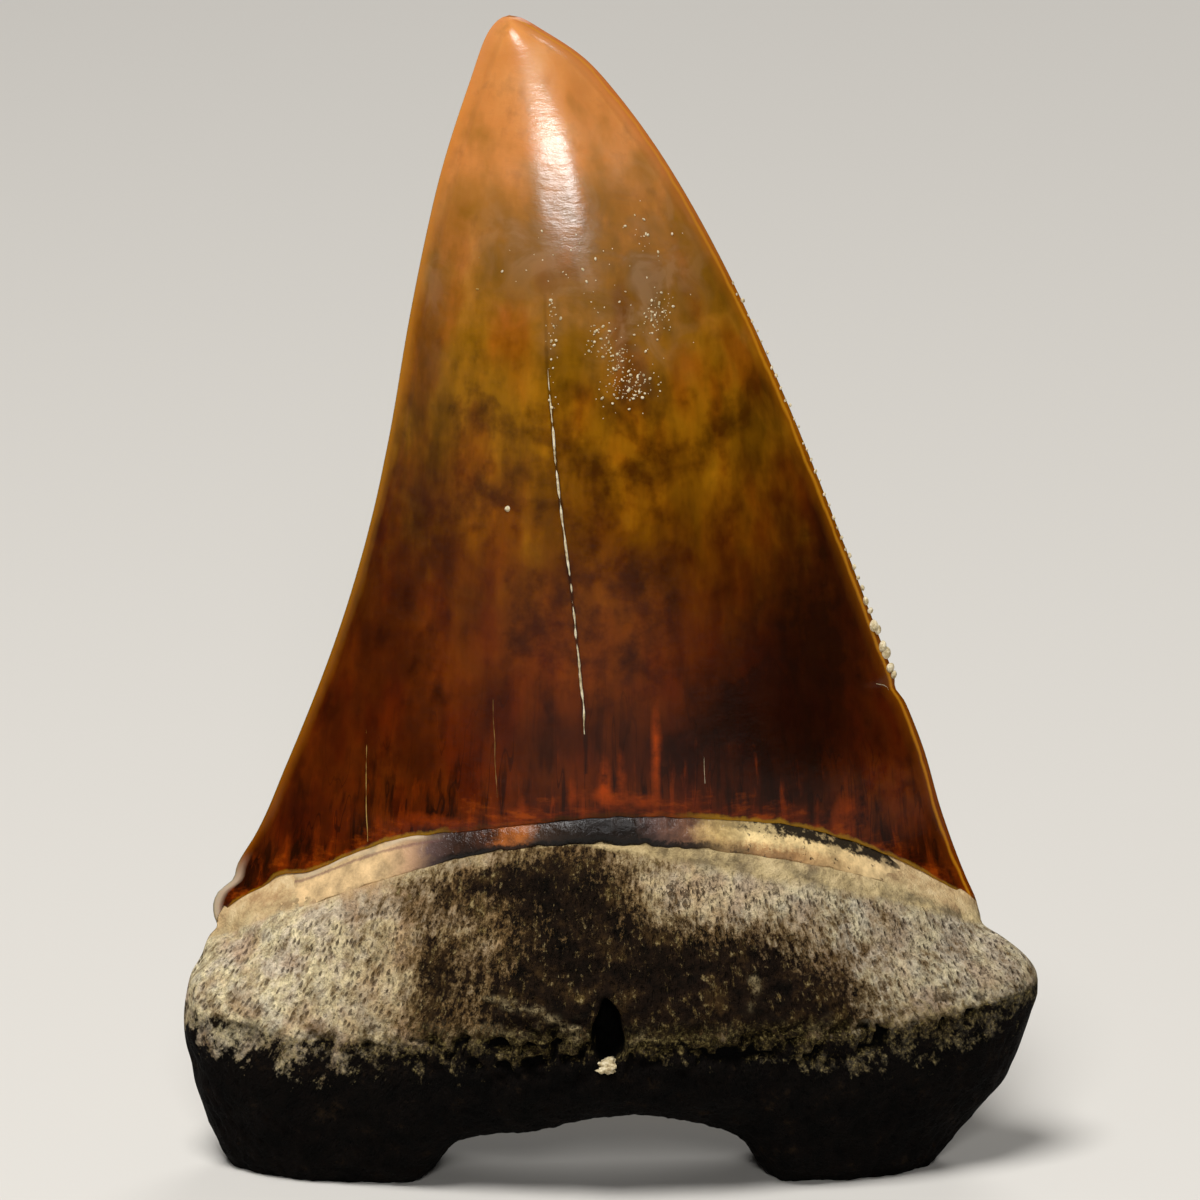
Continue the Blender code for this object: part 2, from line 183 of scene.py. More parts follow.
def smooth(points):
    """A smooth function through (place, value) points that lie in rising or falling order of place."""
    place, value = np.array(sorted(points), float).T
    slope = np.gradient(value, place)

    def at(x):
        x = np.clip(x, place[0], place[-1])
        i = np.clip(np.searchsorted(place, x, side="right") - 1, 0, len(place) - 2)
        step = place[i + 1] - place[i]
        t = (x - place[i]) / step
        start = (1 + 2 * t) * (1 - t) ** 2 * value[i] + t * (1 - t) ** 2 * step * slope[i]
        end = t**2 * (3 - 2 * t) * value[i + 1] + t**2 * (t - 1) * step * slope[i + 1]
        return start + end

    return at


def from_tip(points):
    """A smooth function of height that turns round at the tip, as a blunt point does."""
    by_root = smooth([(math.sqrt(TIP_HEIGHT - height), value) for height, value in points])
    return lambda height: by_root(np.sqrt(np.maximum(TIP_HEIGHT - height, 0.0)))


left_x, right_x, seam_y = from_tip(LEFT_EDGE), from_tip(RIGHT_EDGE), from_tip(SEAM)


def across(line):
    """A line's height as a smooth function of the share of the width from the left edge."""
    shares = [((x - left_x(z)) / (right_x(z) - left_x(z)), z) for x, z in line]
    shares[0] = (0.0, line[0][1])
    shares[-1] = (1.0, line[-1][1])
    return smooth(shares)


def ease(low, high, value):
    t = np.clip((value - low) / (high - low), 0.0, 1.0)
    return t * t * (3 - 2 * t)


def columns(count):
    """Shares of the width, closer together towards the cutting edges."""
    even = np.linspace(-1.0, 1.0, count + 1)
    return 0.5 + 0.5 * (0.5 * even + 0.5 * np.sin(even * math.pi / 2))


def tongue_crest(s):
    return (CREST_OUT + CREST_MIDDLE_OUT * np.exp(-((s / 0.4) ** 2))) * np.sqrt(1 - np.abs(s) ** 3)


def lip_heel(s):
    return (HEEL_OUT - HEEL_HOLLOW * np.exp(-((s / 0.3) ** 2))) * np.sqrt(1 - s**4)


class Face:
    """The tongue face or the lip face of the tooth: its lines across, and how far out it stands."""

    def __init__(self, towards, enamel, neck, crest, swell, out):
        self.towards, self.swell, self.out = towards, from_tip(swell), out
        self.enamel, self.neck, self.crest = across(enamel), across(neck), across(crest)

    def crown_y(self, u, z):
        return seam_y(z) + self.towards * self.swell(z) * (1 - np.abs(2 * u - 1) ** LENS_POWER) ** CROWN_LENS

    def neck_y(self, u):
        z = self.neck(u)
        return seam_y(z) + self.towards * self.swell(z) * (1 - np.abs(2 * u - 1) ** LENS_POWER) ** NECK_LENS

    def band_y(self, u, share):
        """Y of the band between the enamel's edge and the neck, from 0 to 1 down it."""
        top = self.crown_y(u, self.enamel(u)) - self.towards * ENAMEL_STEP * (1 - (2 * u - 1) ** 8)
        return top + (self.neck_y(u) - top) * share

    def root_y(self, u, share):
        """Y of the root between its neck and its crest, from 0 to 1 down it."""
        crest_y = seam_y(self.crest(u)) + self.towards * self.out(2 * u - 1)
        return self.neck_y(u) + (crest_y - self.neck_y(u)) * np.sin(share * math.pi / 2) ** CREST_ROUND


tongue = Face(-1, ENAMEL_TONGUE, NECK_TONGUE, CREST_TONGUE, TONGUE_SWELL, tongue_crest)
lip = Face(1, ENAMEL_LIP, NECK_LIP, HEEL_LIP, LIP_SWELL, lip_heel)


def noisy(points, size, shift=0.0):
    """Smooth noise from -1 to 1 at every point of a grid, in lumps of this size."""
    flat = (points / np.array(size) + shift).reshape(-1, 3).tolist()
    return np.array([noise.noise(place) for place in flat]).reshape(points.shape[:-1])


def pitted(points, size, shift=0.0, share=0.5):
    """Round pits, 0 outside and 1 in the middle, in a share of the cells of this size."""
    flat = (points / np.array(size) + shift).reshape(-1, 3).tolist()
    depth = []
    for place in flat:
        distances, middles = noise.voronoi(place)
        open_pit = noise.cell(middles[0] * 9.0) < share
        depth.append(1 - distances[0] / PIT_RADIUS if open_pit and distances[0] < PIT_RADIUS else 0.0)
    return np.array(depth).reshape(points.shape[:-1])


def outwards(points, towards):
    """The direction straight out of a grid of points at each of them."""
    direction = np.cross(np.gradient(points, axis=0), np.gradient(points, axis=1))
    direction /= np.maximum(np.linalg.norm(direction, axis=-1, keepdims=True), 1e-9)
    return -towards * direction


def near_route(x, z, route):
    """How far each place is from a route of straight pieces."""
    nearest = np.full(x.shape, 1e9)
    for (x0, z0), (x1, z1) in zip(route, route[1:]):
        length = (x1 - x0) ** 2 + (z1 - z0) ** 2
        t = np.clip(((x - x0) * (x1 - x0) + (z - z0) * (z1 - z0)) / length, 0, 1)
        nearest = np.minimum(nearest, np.hypot(x - x0 - t * (x1 - x0), z - z0 - t * (z1 - z0)))
    return nearest


def patches(x, z, places):
    """The sum of soft oval patches, given as x, height, half width, half height and strength."""
    total = np.zeros(np.broadcast(x, z).shape)
    for px, pz, half_width, half_height, strength in places:
        total += strength * np.exp(-(((x - px) / half_width) ** 2) - ((z - pz) / half_height) ** 2)
    return total


def root_face(face, count):
    """One face of the root, as rows of points from inside the crown to the base line, with its relief."""
    u = columns(count)[None, :]
    s = 2 * u - 1
    inner = 1 - s**8
    enamel_z, neck_z, crest_z, base_z = face.enamel(u), face.neck(u), face.crest(u), across(BASE)(u)

    share = np.linspace(0.0, 1.0, TUCKED_ROWS + 1)[:-1, None]
    tucked_z = enamel_z + (1 - share) * (0.02 + TUCK_UP * inner)
    tucked_y = face.crown_y(u, enamel_z) - face.towards * (ENAMEL_STEP + TUCK_IN * (1 - share)) * inner

    share = np.linspace(0.0, 1.0, NECK_ROWS + 1)[:, None]
    band_z = enamel_z + (neck_z - enamel_z) * share
    band_y = face.band_y(u, share)

    share = np.linspace(0.0, 1.0, ROOT_ROWS + 1)[1:, None]
    root_z = neck_z + (crest_z - neck_z) * share
    root_y = face.root_y(u, share)

    turn = np.linspace(0.0, math.pi / 2, UNDER_ROWS + 1)[1:, None]
    under_z = crest_z - (crest_z - base_z) * np.sin(turn) ** (2 / FEET_FULLNESS)
    under_y = BASE_Y + (root_y[-1:] - BASE_Y) * np.cos(turn).clip(0) ** (2 / FEET_FULLNESS)

    z = np.concatenate([tucked_z, band_z, root_z, under_z])
    y = np.concatenate([tucked_y, band_y, root_y, under_y])
    x = left_x(z) + u * (right_x(z) - left_x(z))
    points = np.stack([x, y, z], axis=-1)

    top, crest_row = TUCKED_ROWS + NECK_ROWS, TUCKED_ROWS + NECK_ROWS + ROOT_ROWS
    rows = np.arange(len(z))[:, None]
    down = (rows - top) / ROOT_ROWS
    under = (rows - crest_row) / UNDER_ROWS
    loose = ease(0.1, 0.5, down) * ease(1.0, 0.55, under) * (np.abs(s) < 1)
    skin = ease(0.0, 0.06, down) * ease(0.0, 0.03, 1 - np.abs(s)) * ease(1.0, 0.9, under)

    lumps = LUMP_RISE * loose * (noisy(points, 4.5) + 0.6 * noisy(points, 1.9, (7, 3, 1)))
    grit = skin * (GRIT_RISE * noisy(points, 0.9, 3.0) + FINE_GRIT_RISE * noisy(points, 0.4, 8.0))
    fanned = np.stack([x * (1 + (z - FAN_FROM) / FAN_LENGTH), y, z], axis=-1)
    pits = skin * PIT_DEPTH * pitted(fanned, PIT_SPACING, 5.0, PIT_SHARE)

    crumbling = patches(x, z, CRUMBLING) * skin * (face.towards < 0)
    ragged = noisy(points, (1.2, 1.2, 0.7), 2.0) + 0.5 * noisy(points, 0.45, 9.0)
    hollows = HOLLOW_DEPTH * crumbling * ease(0.0, 0.32, ragged)
    lumpy = CRUMB_RISE * crumbling * ease(0.05, 0.5, -ragged)

    hole_x, hole_z, hole_wide, hole_high, hole_deep = HOLE
    wander = HOLE_WANDER * noisy(points, 1.1, 4.0)
    narrowed = np.maximum(hole_wide * ease(14.5, 9.5, z), 1e-6)
    reach = np.hypot((x - hole_x + wander) / narrowed, (z - hole_z) / hole_high)
    hole = ease(1.15, 0.7, reach) * (face.towards < 0)

    rise = np.zeros_like(x)
    if face.towards < 0:
        broken = 0.5 + 1.3 * noisy(points, 0.6, 6.0)
        bent = 0.35 * noisy(points, 0.7, 12.0)
        for route, half_width, height in LEDGES:
            far = near_route(x + bent, z + bent, route) / half_width
            rise += height * np.exp(-(far**2)) * broken.clip(0.0, 1)

    relief = grit - pits - hollows + lumpy + rise
    points += outwards(points, face.towards) * (relief - face.towards * lumps)[..., None]
    points[..., 1] -= face.towards * hole_deep * hole
    points[..., 2] = points[..., 2].clip(0)

    stain = patches(x, z, STAINS) if face.towards < 0 else patches(x, z, LIP_STAINS)
    fields = {
        "stain": stain * np.ones_like(x),
        # The painted shade of the hollows, the pits and the nutrient hole.
        "hollow": np.clip(hollows / 0.5 + 2.4 * hole + pits / 0.4, 0, 1),
        "ledge": np.clip((rise + 0.7 * lumpy) / 0.2, 0, 1),
        "down": down * np.ones_like(x),
        "under": (under * UNDER_ROWS) * np.ones_like(x),
    }
    return points, fields


def strip(front, back):
    """Faces that look up, between a front row of vertices and a back row that may have fewer."""
    step = (len(front) - 1) // (len(back) - 1)
    return [
        [*front[step * i : step * (i + 1) + 1], back[i + 1], back[i]] for i in range(len(back) - 1)
    ]


def sewn(name, tongue_side, lip_side, pole):
    """One closed mesh of the two faces. They share their side edges, and the tip or the base line."""
    (front, front_fields), (back, back_fields) = tongue_side, lip_side
    f = np.arange(front[..., 0].size).reshape(front.shape[:2])
    b = f.size + np.arange(back[..., 0].size).reshape(back.shape[:2])
    b[:, 0], b[:, -1] = f[:, 0], f[:, -1]
    faces = []
    if pole:
        f[0] = b[0] = f[0, 0]
        faces += [face[::-1] for face in strip(f[-1], b[-1])]
    else:
        faces += strip(f[0], b[0]) + [face[::-1] for face in strip(f[-1], b[-2])]
        b = b[:-1]
    quads = np.stack([f[:-1, :-1], f[1:, :-1], f[1:, 1:], f[:-1, 1:]], axis=-1).reshape(-1, 4).tolist()
    faces += quads
    quads = np.stack([b[:-1, :-1], b[:-1, 1:], b[1:, 1:], b[1:, :-1]], axis=-1).reshape(-1, 4).tolist()
    faces += quads
    faces = [list(dict.fromkeys(face)) for face in faces]
    faces = [face for face in faces if len(face) > 2]

    used = np.unique(np.concatenate([np.array(face) for face in faces]))
    renamed = np.zeros(used[-1] + 1, int)
    renamed[used] = np.arange(len(used))
    places = np.concatenate([front.reshape(-1, 3), back.reshape(-1, 3)])[used] * MM
    mesh = bpy.data.meshes.new(name)
    mesh.from_pydata(places.tolist(), [], [renamed[face].tolist() for face in faces])
    for field, values in front_fields.items():
        both = np.concatenate([values.ravel(), back_fields[field].ravel()])[used]
        mesh.attributes.new(field, "FLOAT", "POINT").data.foreach_set("value", both.astype(np.float32))
    mesh.shade_smooth()
    return mesh


def show(name, mesh, *materials):
    """Puts a finished mesh in the scene as a piece, with its materials."""
    piece = bpy.data.objects.new(name, mesh)
    bpy.context.scene.collection.objects.link(piece)
    for material in materials:
        mesh.materials.append(material)
    return piece


def srgb(text):
    """A colour from its sRGB hex value."""
    parts = [int(text[i : i + 2], 16) / 255 for i in (1, 3, 5)]
    return (*[p / 12.92 if p <= 0.04045 else ((p + 0.055) / 1.055) ** 2.4 for p in parts], 1.0)


def feed(tree, socket, value):
    """Gives an input a value, a hex colour, or the node or socket that it comes from."""
    if isinstance(value, bpy.types.Node):
        value = next(s for s in value.outputs if s.enabled)
    if isinstance(value, bpy.types.NodeSocket):
        tree.links.new(value, socket)
    else:
        socket.default_value = srgb(value) if isinstance(value, str) and value[:1] == "#" else value


def add(tree, kind, inputs=(), stops=(), **settings):
    """Adds a node with its settings. A kind without a family is a shader node's.

    Inputs come by name, or as a list in the order in which the node shows them. Each stop of a colour ramp
    is its place and a hex colour or a grey.
    """
    made = tree.nodes.new(kind if "Node" in kind else "ShaderNode" + kind)
    for name, value in settings.items():
        setattr(made, name, value)
    for i, (place, colour) in enumerate(stops):
        elements = made.color_ramp.elements
        element = elements[i] if i < 2 else elements.new(place)
        element.position = place
        element.color = srgb(colour) if isinstance(colour, str) else (colour, colour, colour, 1.0)
    shown = [socket for socket in made.inputs if socket.enabled]
    names = [socket.name for socket in shown]
    for key, value in inputs.items() if isinstance(inputs, dict) else enumerate(inputs):
        feed(tree, shown[names.index(key) if isinstance(key, str) else key], value)
    return made


def new_material(name):
    """A material, its tree, its shader and the place on the piece in millimetres."""
    material = bpy.data.materials.new(name)
    material.use_nodes = True
    tree = material.node_tree
    place = add(tree, "TexCoord").outputs["Object"]
    mm = add(tree, "VectorMath", [place, 1000.0], operation="SCALE")
    return material, tree, tree.nodes["Principled BSDF"], mm


def set_inputs(tree, shader, inputs):
    for name, value in inputs.items():
        feed(tree, shader.inputs[name], value)


# Fossil dentine, weathered: dry and matt, cream to grey, with manganese soaked in. Pores and grit break
# the light up, so it has no gloss at all.
dentine, t, shader, mm = new_material("porous fossil dentine")
stain, hollow, ledge, down, under = (
    add(t, "Attribute", attribute_name=name).outputs["Fac"] for name in (
        "stain", "hollow", "ledge", "down", "under"))

# The fan that the pores follow: x is stretched with height, so that even lines of it lean to the crown.
xyz = add(t, "SeparateXYZ", [mm])
fan = add(t, "MapRange", [xyz.outputs[2], FAN_FROM - FAN_LENGTH, FAN_FROM + FAN_LENGTH, 0.0, 2.0])
fan = add(t, "Math", [xyz.outputs[0], fan], operation="MULTIPLY")
fan = add(t, "CombineXYZ", [fan, xyz.outputs[1], xyz.outputs[2]])

# Cream, yellow and grey drift over 3 mm, with reddish patches about 2 mm across. It is greyer to the right,
# and browner left of the middle.
drift = add(t, "TexNoise", {"Vector": mm, "Scale": 0.36, "Detail": 5.0, "Roughness": 0.62})
cream = add(t, "ValToRGB", [drift], stops=(
    (0.3, "#a2947e"), (0.42, "#cdbda3"), (0.52, "#dccb9f"), (0.6, "#cdc0a2"), (0.7, "#a89b86")))
blush = add(t, "TexNoise", {"Vector": mm, "Scale": 0.5, "Detail": 4.0, "Distortion": 0.4})
blush = add(t, "MapRange", [blush, 0.48, 0.64, 0.0, 0.5])
cream = add(t, "Mix", [blush, cream, "#a0724c"], data_type="RGBA")
sides = add(t, "MapRange", [xyz.outputs[0], -22.0, 22.0])
browner = add(t, "ValToRGB", [sides], stops=(
    (0.12, 0.0), (0.24, 0.4), (0.4, 0.6), (0.6, 0.35), (0.72, 0.0)))
cream = add(t, "Mix", [browner, cream, "#8f6e3c"], data_type="RGBA")
greyer = add(t, "ValToRGB", [sides], stops=((0.54, 0.1), (0.74, 0.5)))
cream = add(t, "Mix", [greyer, cream, "#8d8472"], data_type="RGBA")

# Grit of about 0.15 mm, light and dark.
grit = add(t, "TexNoise", {"Vector": mm, "Scale": 4.6, "Detail": 3.0, "Roughness": 0.75})
gritty = add(t, "ValToRGB", [grit], stops=((0.34, 0.3), (0.46, 0.86), (0.66, 1.36)))
cream = add(t, "Mix", [0.95, cream, gritty], data_type="RGBA", blend_type="MULTIPLY")

# Pores about 0.15 mm wide and 0.35 mm high, in two layers of cells 0.26 mm wide and 0.6 mm high, that grow
# and shrink over a few millimetres. Two cells in five have none. The real ones are finer, and these are as
# coarse as they need to be to show. Their dark brown is painted shade in the holes.
drifts = add(t, "TexNoise", {"Vector": mm, "Scale": 0.7, "Detail": 3.0})
pore_size = add(t, "MapRange", [drifts, 0.35, 0.62, 0.2, 0.36])
layers = []
for shift in (0.0, 37.0):
    squeezed = add(t, "Mapping", {"Vector": fan, "Location": (shift, 0.0, shift), "Scale": (3.9, 1.6, 1.7)})
    cells = add(t, "TexVoronoi", {"Vector": squeezed, "Scale": 1.0, "Randomness": 1.0})
    pore = add(t, "Math", [cells.outputs["Distance"], pore_size], operation="DIVIDE")
    pore = add(t, "MapRange", [pore, 1.1, 0.5])
    chosen = add(t, "SeparateXYZ", [cells.outputs["Color"]]).outputs[0]
    chosen = add(t, "MapRange", [chosen, 0.3, 0.5])
    layers.append(add(t, "Math", [pore, chosen], operation="MULTIPLY"))
pore = add(t, "Math", [layers[0], layers[1]], operation="MAXIMUM")
below_neck = add(t, "MapRange", [down, 0.08, 0.2])
pore = add(t, "Math", [pore, below_neck], operation="MULTIPLY")
pore_shade = add(t, "Math", [pore, 0.7], operation="MULTIPLY")
cream = add(t, "Mix", [pore_shade, cream, "#3d2b22"], data_type="RGBA")

# Irregular dark specks 0.15 mm wide lie between the pores, drawn out along the fan.
leaning = add(t, "Mapping", {"Vector": fan, "Scale": (3.4, 2.4, 1.9)})
specks = add(t, "TexNoise", {"Vector": leaning, "Scale": 1.0, "Detail": 3.0, "Roughness": 0.7})
specks = add(t, "Math", [drifts, 0.5, specks], operation="MULTIPLY_ADD")
specks = add(t, "MapRange", [specks, 0.68, 0.6, 0.0, 0.85])
specks = add(t, "Math", [specks, below_neck], operation="MULTIPLY")
speckled = add(t, "ValToRGB", [sides], stops=((0.2, 0.3), (0.32, 1.0), (0.7, 0.9), (0.85, 0.55)))
specks = add(t, "Math", [specks, speckled], operation="MULTIPLY")
cream = add(t, "Mix", [specks, cream, "#3a2818"], data_type="RGBA")

# The dark soaking passes through a mottled brown, and its edge is ragged and speckled.
coarse = add(t, "TexNoise", {"Vector": mm, "Scale": 0.8, "Detail": 5.0, "Roughness": 0.68})
drawn = add(t, "Mapping", {"Vector": fan, "Scale": (1.6, 1.6, 0.8)})
ragged = add(t, "TexNoise", {"Vector": drawn, "Scale": 1.5, "Detail": 4.0, "Roughness": 0.75})
soaked = stain
for layer, strength in ((coarse, 1.8), (ragged, 2.8), (grit, 1.6)):
    soaked = add(t, "Math", [layer, strength, soaked], operation="MULTIPLY_ADD")
mottle = add(t, "MapRange", [soaked, 3.0, 3.75, 0.0, 0.88])
soaked = add(t, "MapRange", [soaked, 3.6, 4.1])
brown = add(t, "ValToRGB", [coarse], stops=((0.36, "#0a0603"), (0.52, "#1b1109"), (0.68, "#382814")))
fleck = add(t, "TexNoise", {"Vector": drawn, "Scale": 1.7, "Detail": 4.0, "Roughness": 0.72})
fleck = add(t, "Math", [coarse, 0.5, fleck], operation="MULTIPLY_ADD")
fleck = add(t, "MapRange", [fleck, 0.83, 0.95, 0.0, 0.85])
flecks = add(t, "ValToRGB", [grit], stops=((0.38, "#3c2e15"), (0.5, "#6a5730"), (0.62, "#94825a")))
brown = add(t, "Mix", [fleck, brown, flecks], data_type="RGBA")
ledges = add(t, "MapRange", [grit, 0.38, 0.56])
ledges = add(t, "Math", [ledge, ledges], operation="MULTIPLY")

# Painted shade: towards the crest it darkens to a mossy brown in crumbs, and under the crest, where the
# light from above doesn't reach, it is nearly black.
under_crest_shade = add(t, "Math", [ragged, 16.0, under], operation="MULTIPLY_ADD")
under_crest_shade = add(t, "Math", [coarse, 24.0, under_crest_shade], operation="MULTIPLY_ADD")
leftmost = add(t, "MapRange", [sides, 0.34, 0.04, 0.0, -8.0])
crest_shade = add(t, "Math", [down, 9.0, under_crest_shade], operation="MULTIPLY_ADD")
crest_shade = add(t, "Math", [crest_shade, leftmost], operation="ADD")
leftmost = add(t, "Math", [leftmost, 0.15], operation="MULTIPLY")
under_crest_shade = add(t, "Math", [under_crest_shade, leftmost], operation="ADD")
crest_shade = add(t, "MapRange", [crest_shade, 14.0, 27.5, 0.0, 0.9])
crest_shade_colour = add(t, "ValToRGB", [grit], stops=((0.42, "#0c0904"), (0.54, "#3a3016"), (0.66, "#7a6c42")))
under_crest_shade = add(t, "MapRange", [under_crest_shade, 20.0, 22.4])
# The nearly black of the painted shade under the crest.
black = add(t, "ValToRGB", [coarse], stops=((0.4, "#030201"), (0.6, "#0a0604"), (0.72, "#1e150b")))

# A pale line runs along the neck, just below the bourlette: thin in the middle, broader to the right. Above
# it, at both ends, the dentine is as smooth and creamy as the bourlette.
line_low = add(t, "MapRange", [xyz.outputs[0], -2.0, 8.0, 0.02, 0.1])
line = add(t, "Math", [ragged, 0.06, down], operation="MULTIPLY_ADD")
line = add(t, "Math", [line, line_low], operation="DIVIDE")
line = add(t, "MapRange", [line, 1.9, 1.3, 0.0, 0.85])
lines = add(t, "ValToRGB", [coarse], stops=((0.4, "#6b5b3e"), (0.55, "#b39d70"), (0.68, "#d0b98a")))
smoother = add(t, "Math", [drift, 0.3, down], operation="MULTIPLY_ADD")
smoother = add(t, "MapRange", [smoother, 0.19, 0.1, 0.0, 0.85])
smooth_cream = add(t, "ValToRGB", [coarse], stops=(
    (0.38, "#b08c62"), (0.5, "#cbaa7b"), (0.64, "#d9be92")))
ends = add(t, "ValToRGB", [sides], stops=(
    (0.14, 1.0), (0.22, 0.9), (0.3, 0.0), (0.62, 0.0), (0.72, 0.35), (0.86, 0.8)))
smoother = add(t, "Math", [smoother, ends], operation="MULTIPLY")
# Painted shade: the hollows, pits and nutrient hole are near black, and the deepest part of the hole black.
deep = add(t, "MapRange", [hollow, 0.6, 0.95])

# All of it over the cream, from the lowest layer up.
colour = cream
for share, layer in (
    (mottle, "#5c4422"), (soaked, brown), (ledges, "#94835f"), (hollow, "#070403"), (crest_shade, crest_shade_colour),
    (under_crest_shade, black), (line, lines), (smoother, smooth_cream), (deep, "#030201"),
):
    colour = add(t, "Mix", [share, colour, layer], data_type="RGBA")
relief = add(t, "Math", [pore, -1.0, grit], operation="MULTIPLY_ADD")
relief = add(t, "Math", [specks, -1.0, relief], operation="MULTIPLY_ADD")
bump = add(t, "Bump", {"Height": relief, "Strength": 0.9, "Distance": 0.00016})
set_inputs(t, shader, {"Base Color": colour, "Normal": bump, "Roughness": 0.88, "Specular IOR Level": 0.06})

root_mesh = sewn("root", root_face(tongue, ROOT_COLUMNS), root_face(lip, ROOT_LIP_COLUMNS), False)
root = show("root", root_mesh, dentine)
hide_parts("tooth")
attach(root, "root")

# Bourlette
# A smooth rounded band of dense dentine between the enamel and the root on the tongue side. It is worn
# glossy, nearly black in the middle and cream towards both ends, with painted shade as a thin dark gap
# under the enamel.

BAND_COLUMNS, BAND_ROWS = 440, 26
BAND_BULGE, BAND_DEPTH, BAND_TUCK, BAND_WAVE = 0.3, 0.5, 0.3, 0.16
BAND_LUMPS, FINE_BAND_LUMPS = 0.07, 0.04

# On the left a thin crust of the enamel stands as a ridge along the top of the band, between these x.
CRUST_FROM, CRUST_TO, CRUST_RISE = -17.2, -8.6, 0.13


def bourlette_mesh():
    u = np.linspace(0.012, 0.988, BAND_COLUMNS + 1)[None, :]
    s = 2 * u - 1
    share = np.linspace(-0.12, 1.03, BAND_ROWS + 1)[:, None]
    enamel_z, neck_z = tongue.enamel(u), tongue.neck(u)
    z = enamel_z + (neck_z - enamel_z) * share
    x = left_x(z) + u * (right_x(z) - left_x(z))
    flat = np.stack([x, np.zeros_like(x), np.zeros_like(x)], axis=-1)
    z = z + BAND_WAVE * (noisy(flat, 1.1, 7.0) + 0.5 * noisy(flat, 0.4, 3.0)) * ease(0.5, 1.0, share)
    round_out = np.sin(np.clip((share + 0.12) / 1.15, 0, 1) * math.pi) ** 0.7
    out = BAND_BULGE * round_out * ease(0.9, 0.5, np.abs(s)) - BAND_TUCK * ease(0.8, 0.95, np.abs(s))
    crust = ease(CRUST_FROM, CRUST_FROM + 1.0, x) * ease(CRUST_TO, CRUST_TO - 1.5, x)
    crust = crust * np.exp(-(((share - 0.08 - 0.05 * np.sin(1.9 * x)) / 0.07) ** 2))
    y = tongue.band_y(u, share) - out
    front = np.stack([x, y, z], axis=-1)
    lumps = BAND_LUMPS * noisy(front, (1.6, 1.6, 0.9)) + FINE_BAND_LUMPS * noisy(front, 0.5, 5.0)
    crust = crust * (0.7 + 0.8 * noisy(front, 0.9, 2.0)).clip(0, 1)
    front[..., 1] -= lumps * round_out + CRUST_RISE * crust
    back = front[::-1][[0, BAND_ROWS // 2, -1]] + np.array([0.0, BAND_DEPTH, 0.0])
    points = np.concatenate([front, back])
    wide, ring = points.shape[1], len(points)
    ids = np.arange(ring * wide).reshape(ring, wide)
    loop = np.concatenate([ids, ids[:1]])
    quads = np.stack([loop[:-1, :-1], loop[1:, :-1], loop[1:, 1:], loop[:-1, 1:]], axis=-1)
    faces = quads.reshape(-1, 4).tolist() + [ids[:, 0].tolist()[::-1], ids[:, -1].tolist()]
    mesh = bpy.data.meshes.new("bourlette")
    mesh.from_pydata((points.reshape(-1, 3) * MM).tolist(), [], faces)
    behind = np.zeros((3, wide))
    for field, values in (("band", share * np.ones_like(z)), ("crust", crust)):
        values = np.concatenate([values, behind]).astype(np.float32)
        mesh.attributes.new(field, "FLOAT", "POINT").data.foreach_set("value", values.ravel())
    mesh.shade_smooth()
    return mesh


# Dense dentine, polished by wear: a waxy gloss, so it glints along its rounded top.
polished, t, shader, mm = new_material("polished dense dentine")
band, crust = (
    add(t, "Attribute", attribute_name=name).outputs["Fac"] for name in ("band", "crust"))
blotch = add(t, "TexNoise", {"Vector": mm, "Scale": 1.1, "Detail": 5.0, "Roughness": 0.65})
fine = add(t, "TexNoise", {"Vector": mm, "Scale": 4.5, "Detail": 3.0, "Roughness": 0.7})
across_x = add(t, "SeparateXYZ", [mm]).outputs[0]
along = add(t, "Math", [blotch, 2.2, across_x], operation="MULTIPLY_ADD")
along = add(t, "MapRange", [along, -18.9, 21.1])

# Its colour along the tooth, from the left end to the right end, over 40 mm.
colour = add(t, "ValToRGB", [along], stops=(
    (0.0, "#c9aa7c"), (0.2, "#c6a678"), (0.24, "#a88464"), (0.265, "#54413c"), (0.3, "#2c1d16"),
    (0.335, "#3b241a"), (0.355, "#8a4c22"), (0.385, "#9a5826"), (0.405, "#3a2a20"), (0.44, "#20160f"),
    (0.49, "#120b07"), (0.53, "#1c120b"), (0.56, "#4b3630"), (0.6, "#6b4a38"), (0.64, "#c0a26a"),
    (0.68, "#dfc48c"), (0.8, "#d6b883"), (0.9, "#c8ac80"), (1.0, "#bfa37a")))
low = add(t, "Math", [fine, 0.7, band], operation="MULTIPLY_ADD")
low = add(t, "MapRange", [low, 0.85, 1.15, 0.0, 0.8])
right = add(t, "MapRange", [along, 0.6, 0.68])
before_end = add(t, "MapRange", [along, 0.84, 0.74])
warm = add(t, "Math", [low, right], operation="MULTIPLY")
warm = add(t, "Math", [warm, before_end], operation="MULTIPLY")
colour = add(t, "Mix", [warm, colour, "#9d6d42"], data_type="RGBA")

# Blotches, light and dark, 1 mm across, and black specks to the right.
blotched = add(t, "ValToRGB", [blotch], stops=((0.36, 0.55), (0.52, 1.0), (0.66, 1.35)))
colour = add(t, "Mix", [0.85, colour, blotched], data_type="RGBA", blend_type="MULTIPLY")
spots = add(t, "TexNoise", {"Vector": mm, "Scale": 1.9, "Detail": 5.0, "Roughness": 0.7})
spots = add(t, "MapRange", [spots, 0.58, 0.63, 0.0, 0.9])
spots = add(t, "Math", [spots, right], operation="MULTIPLY")
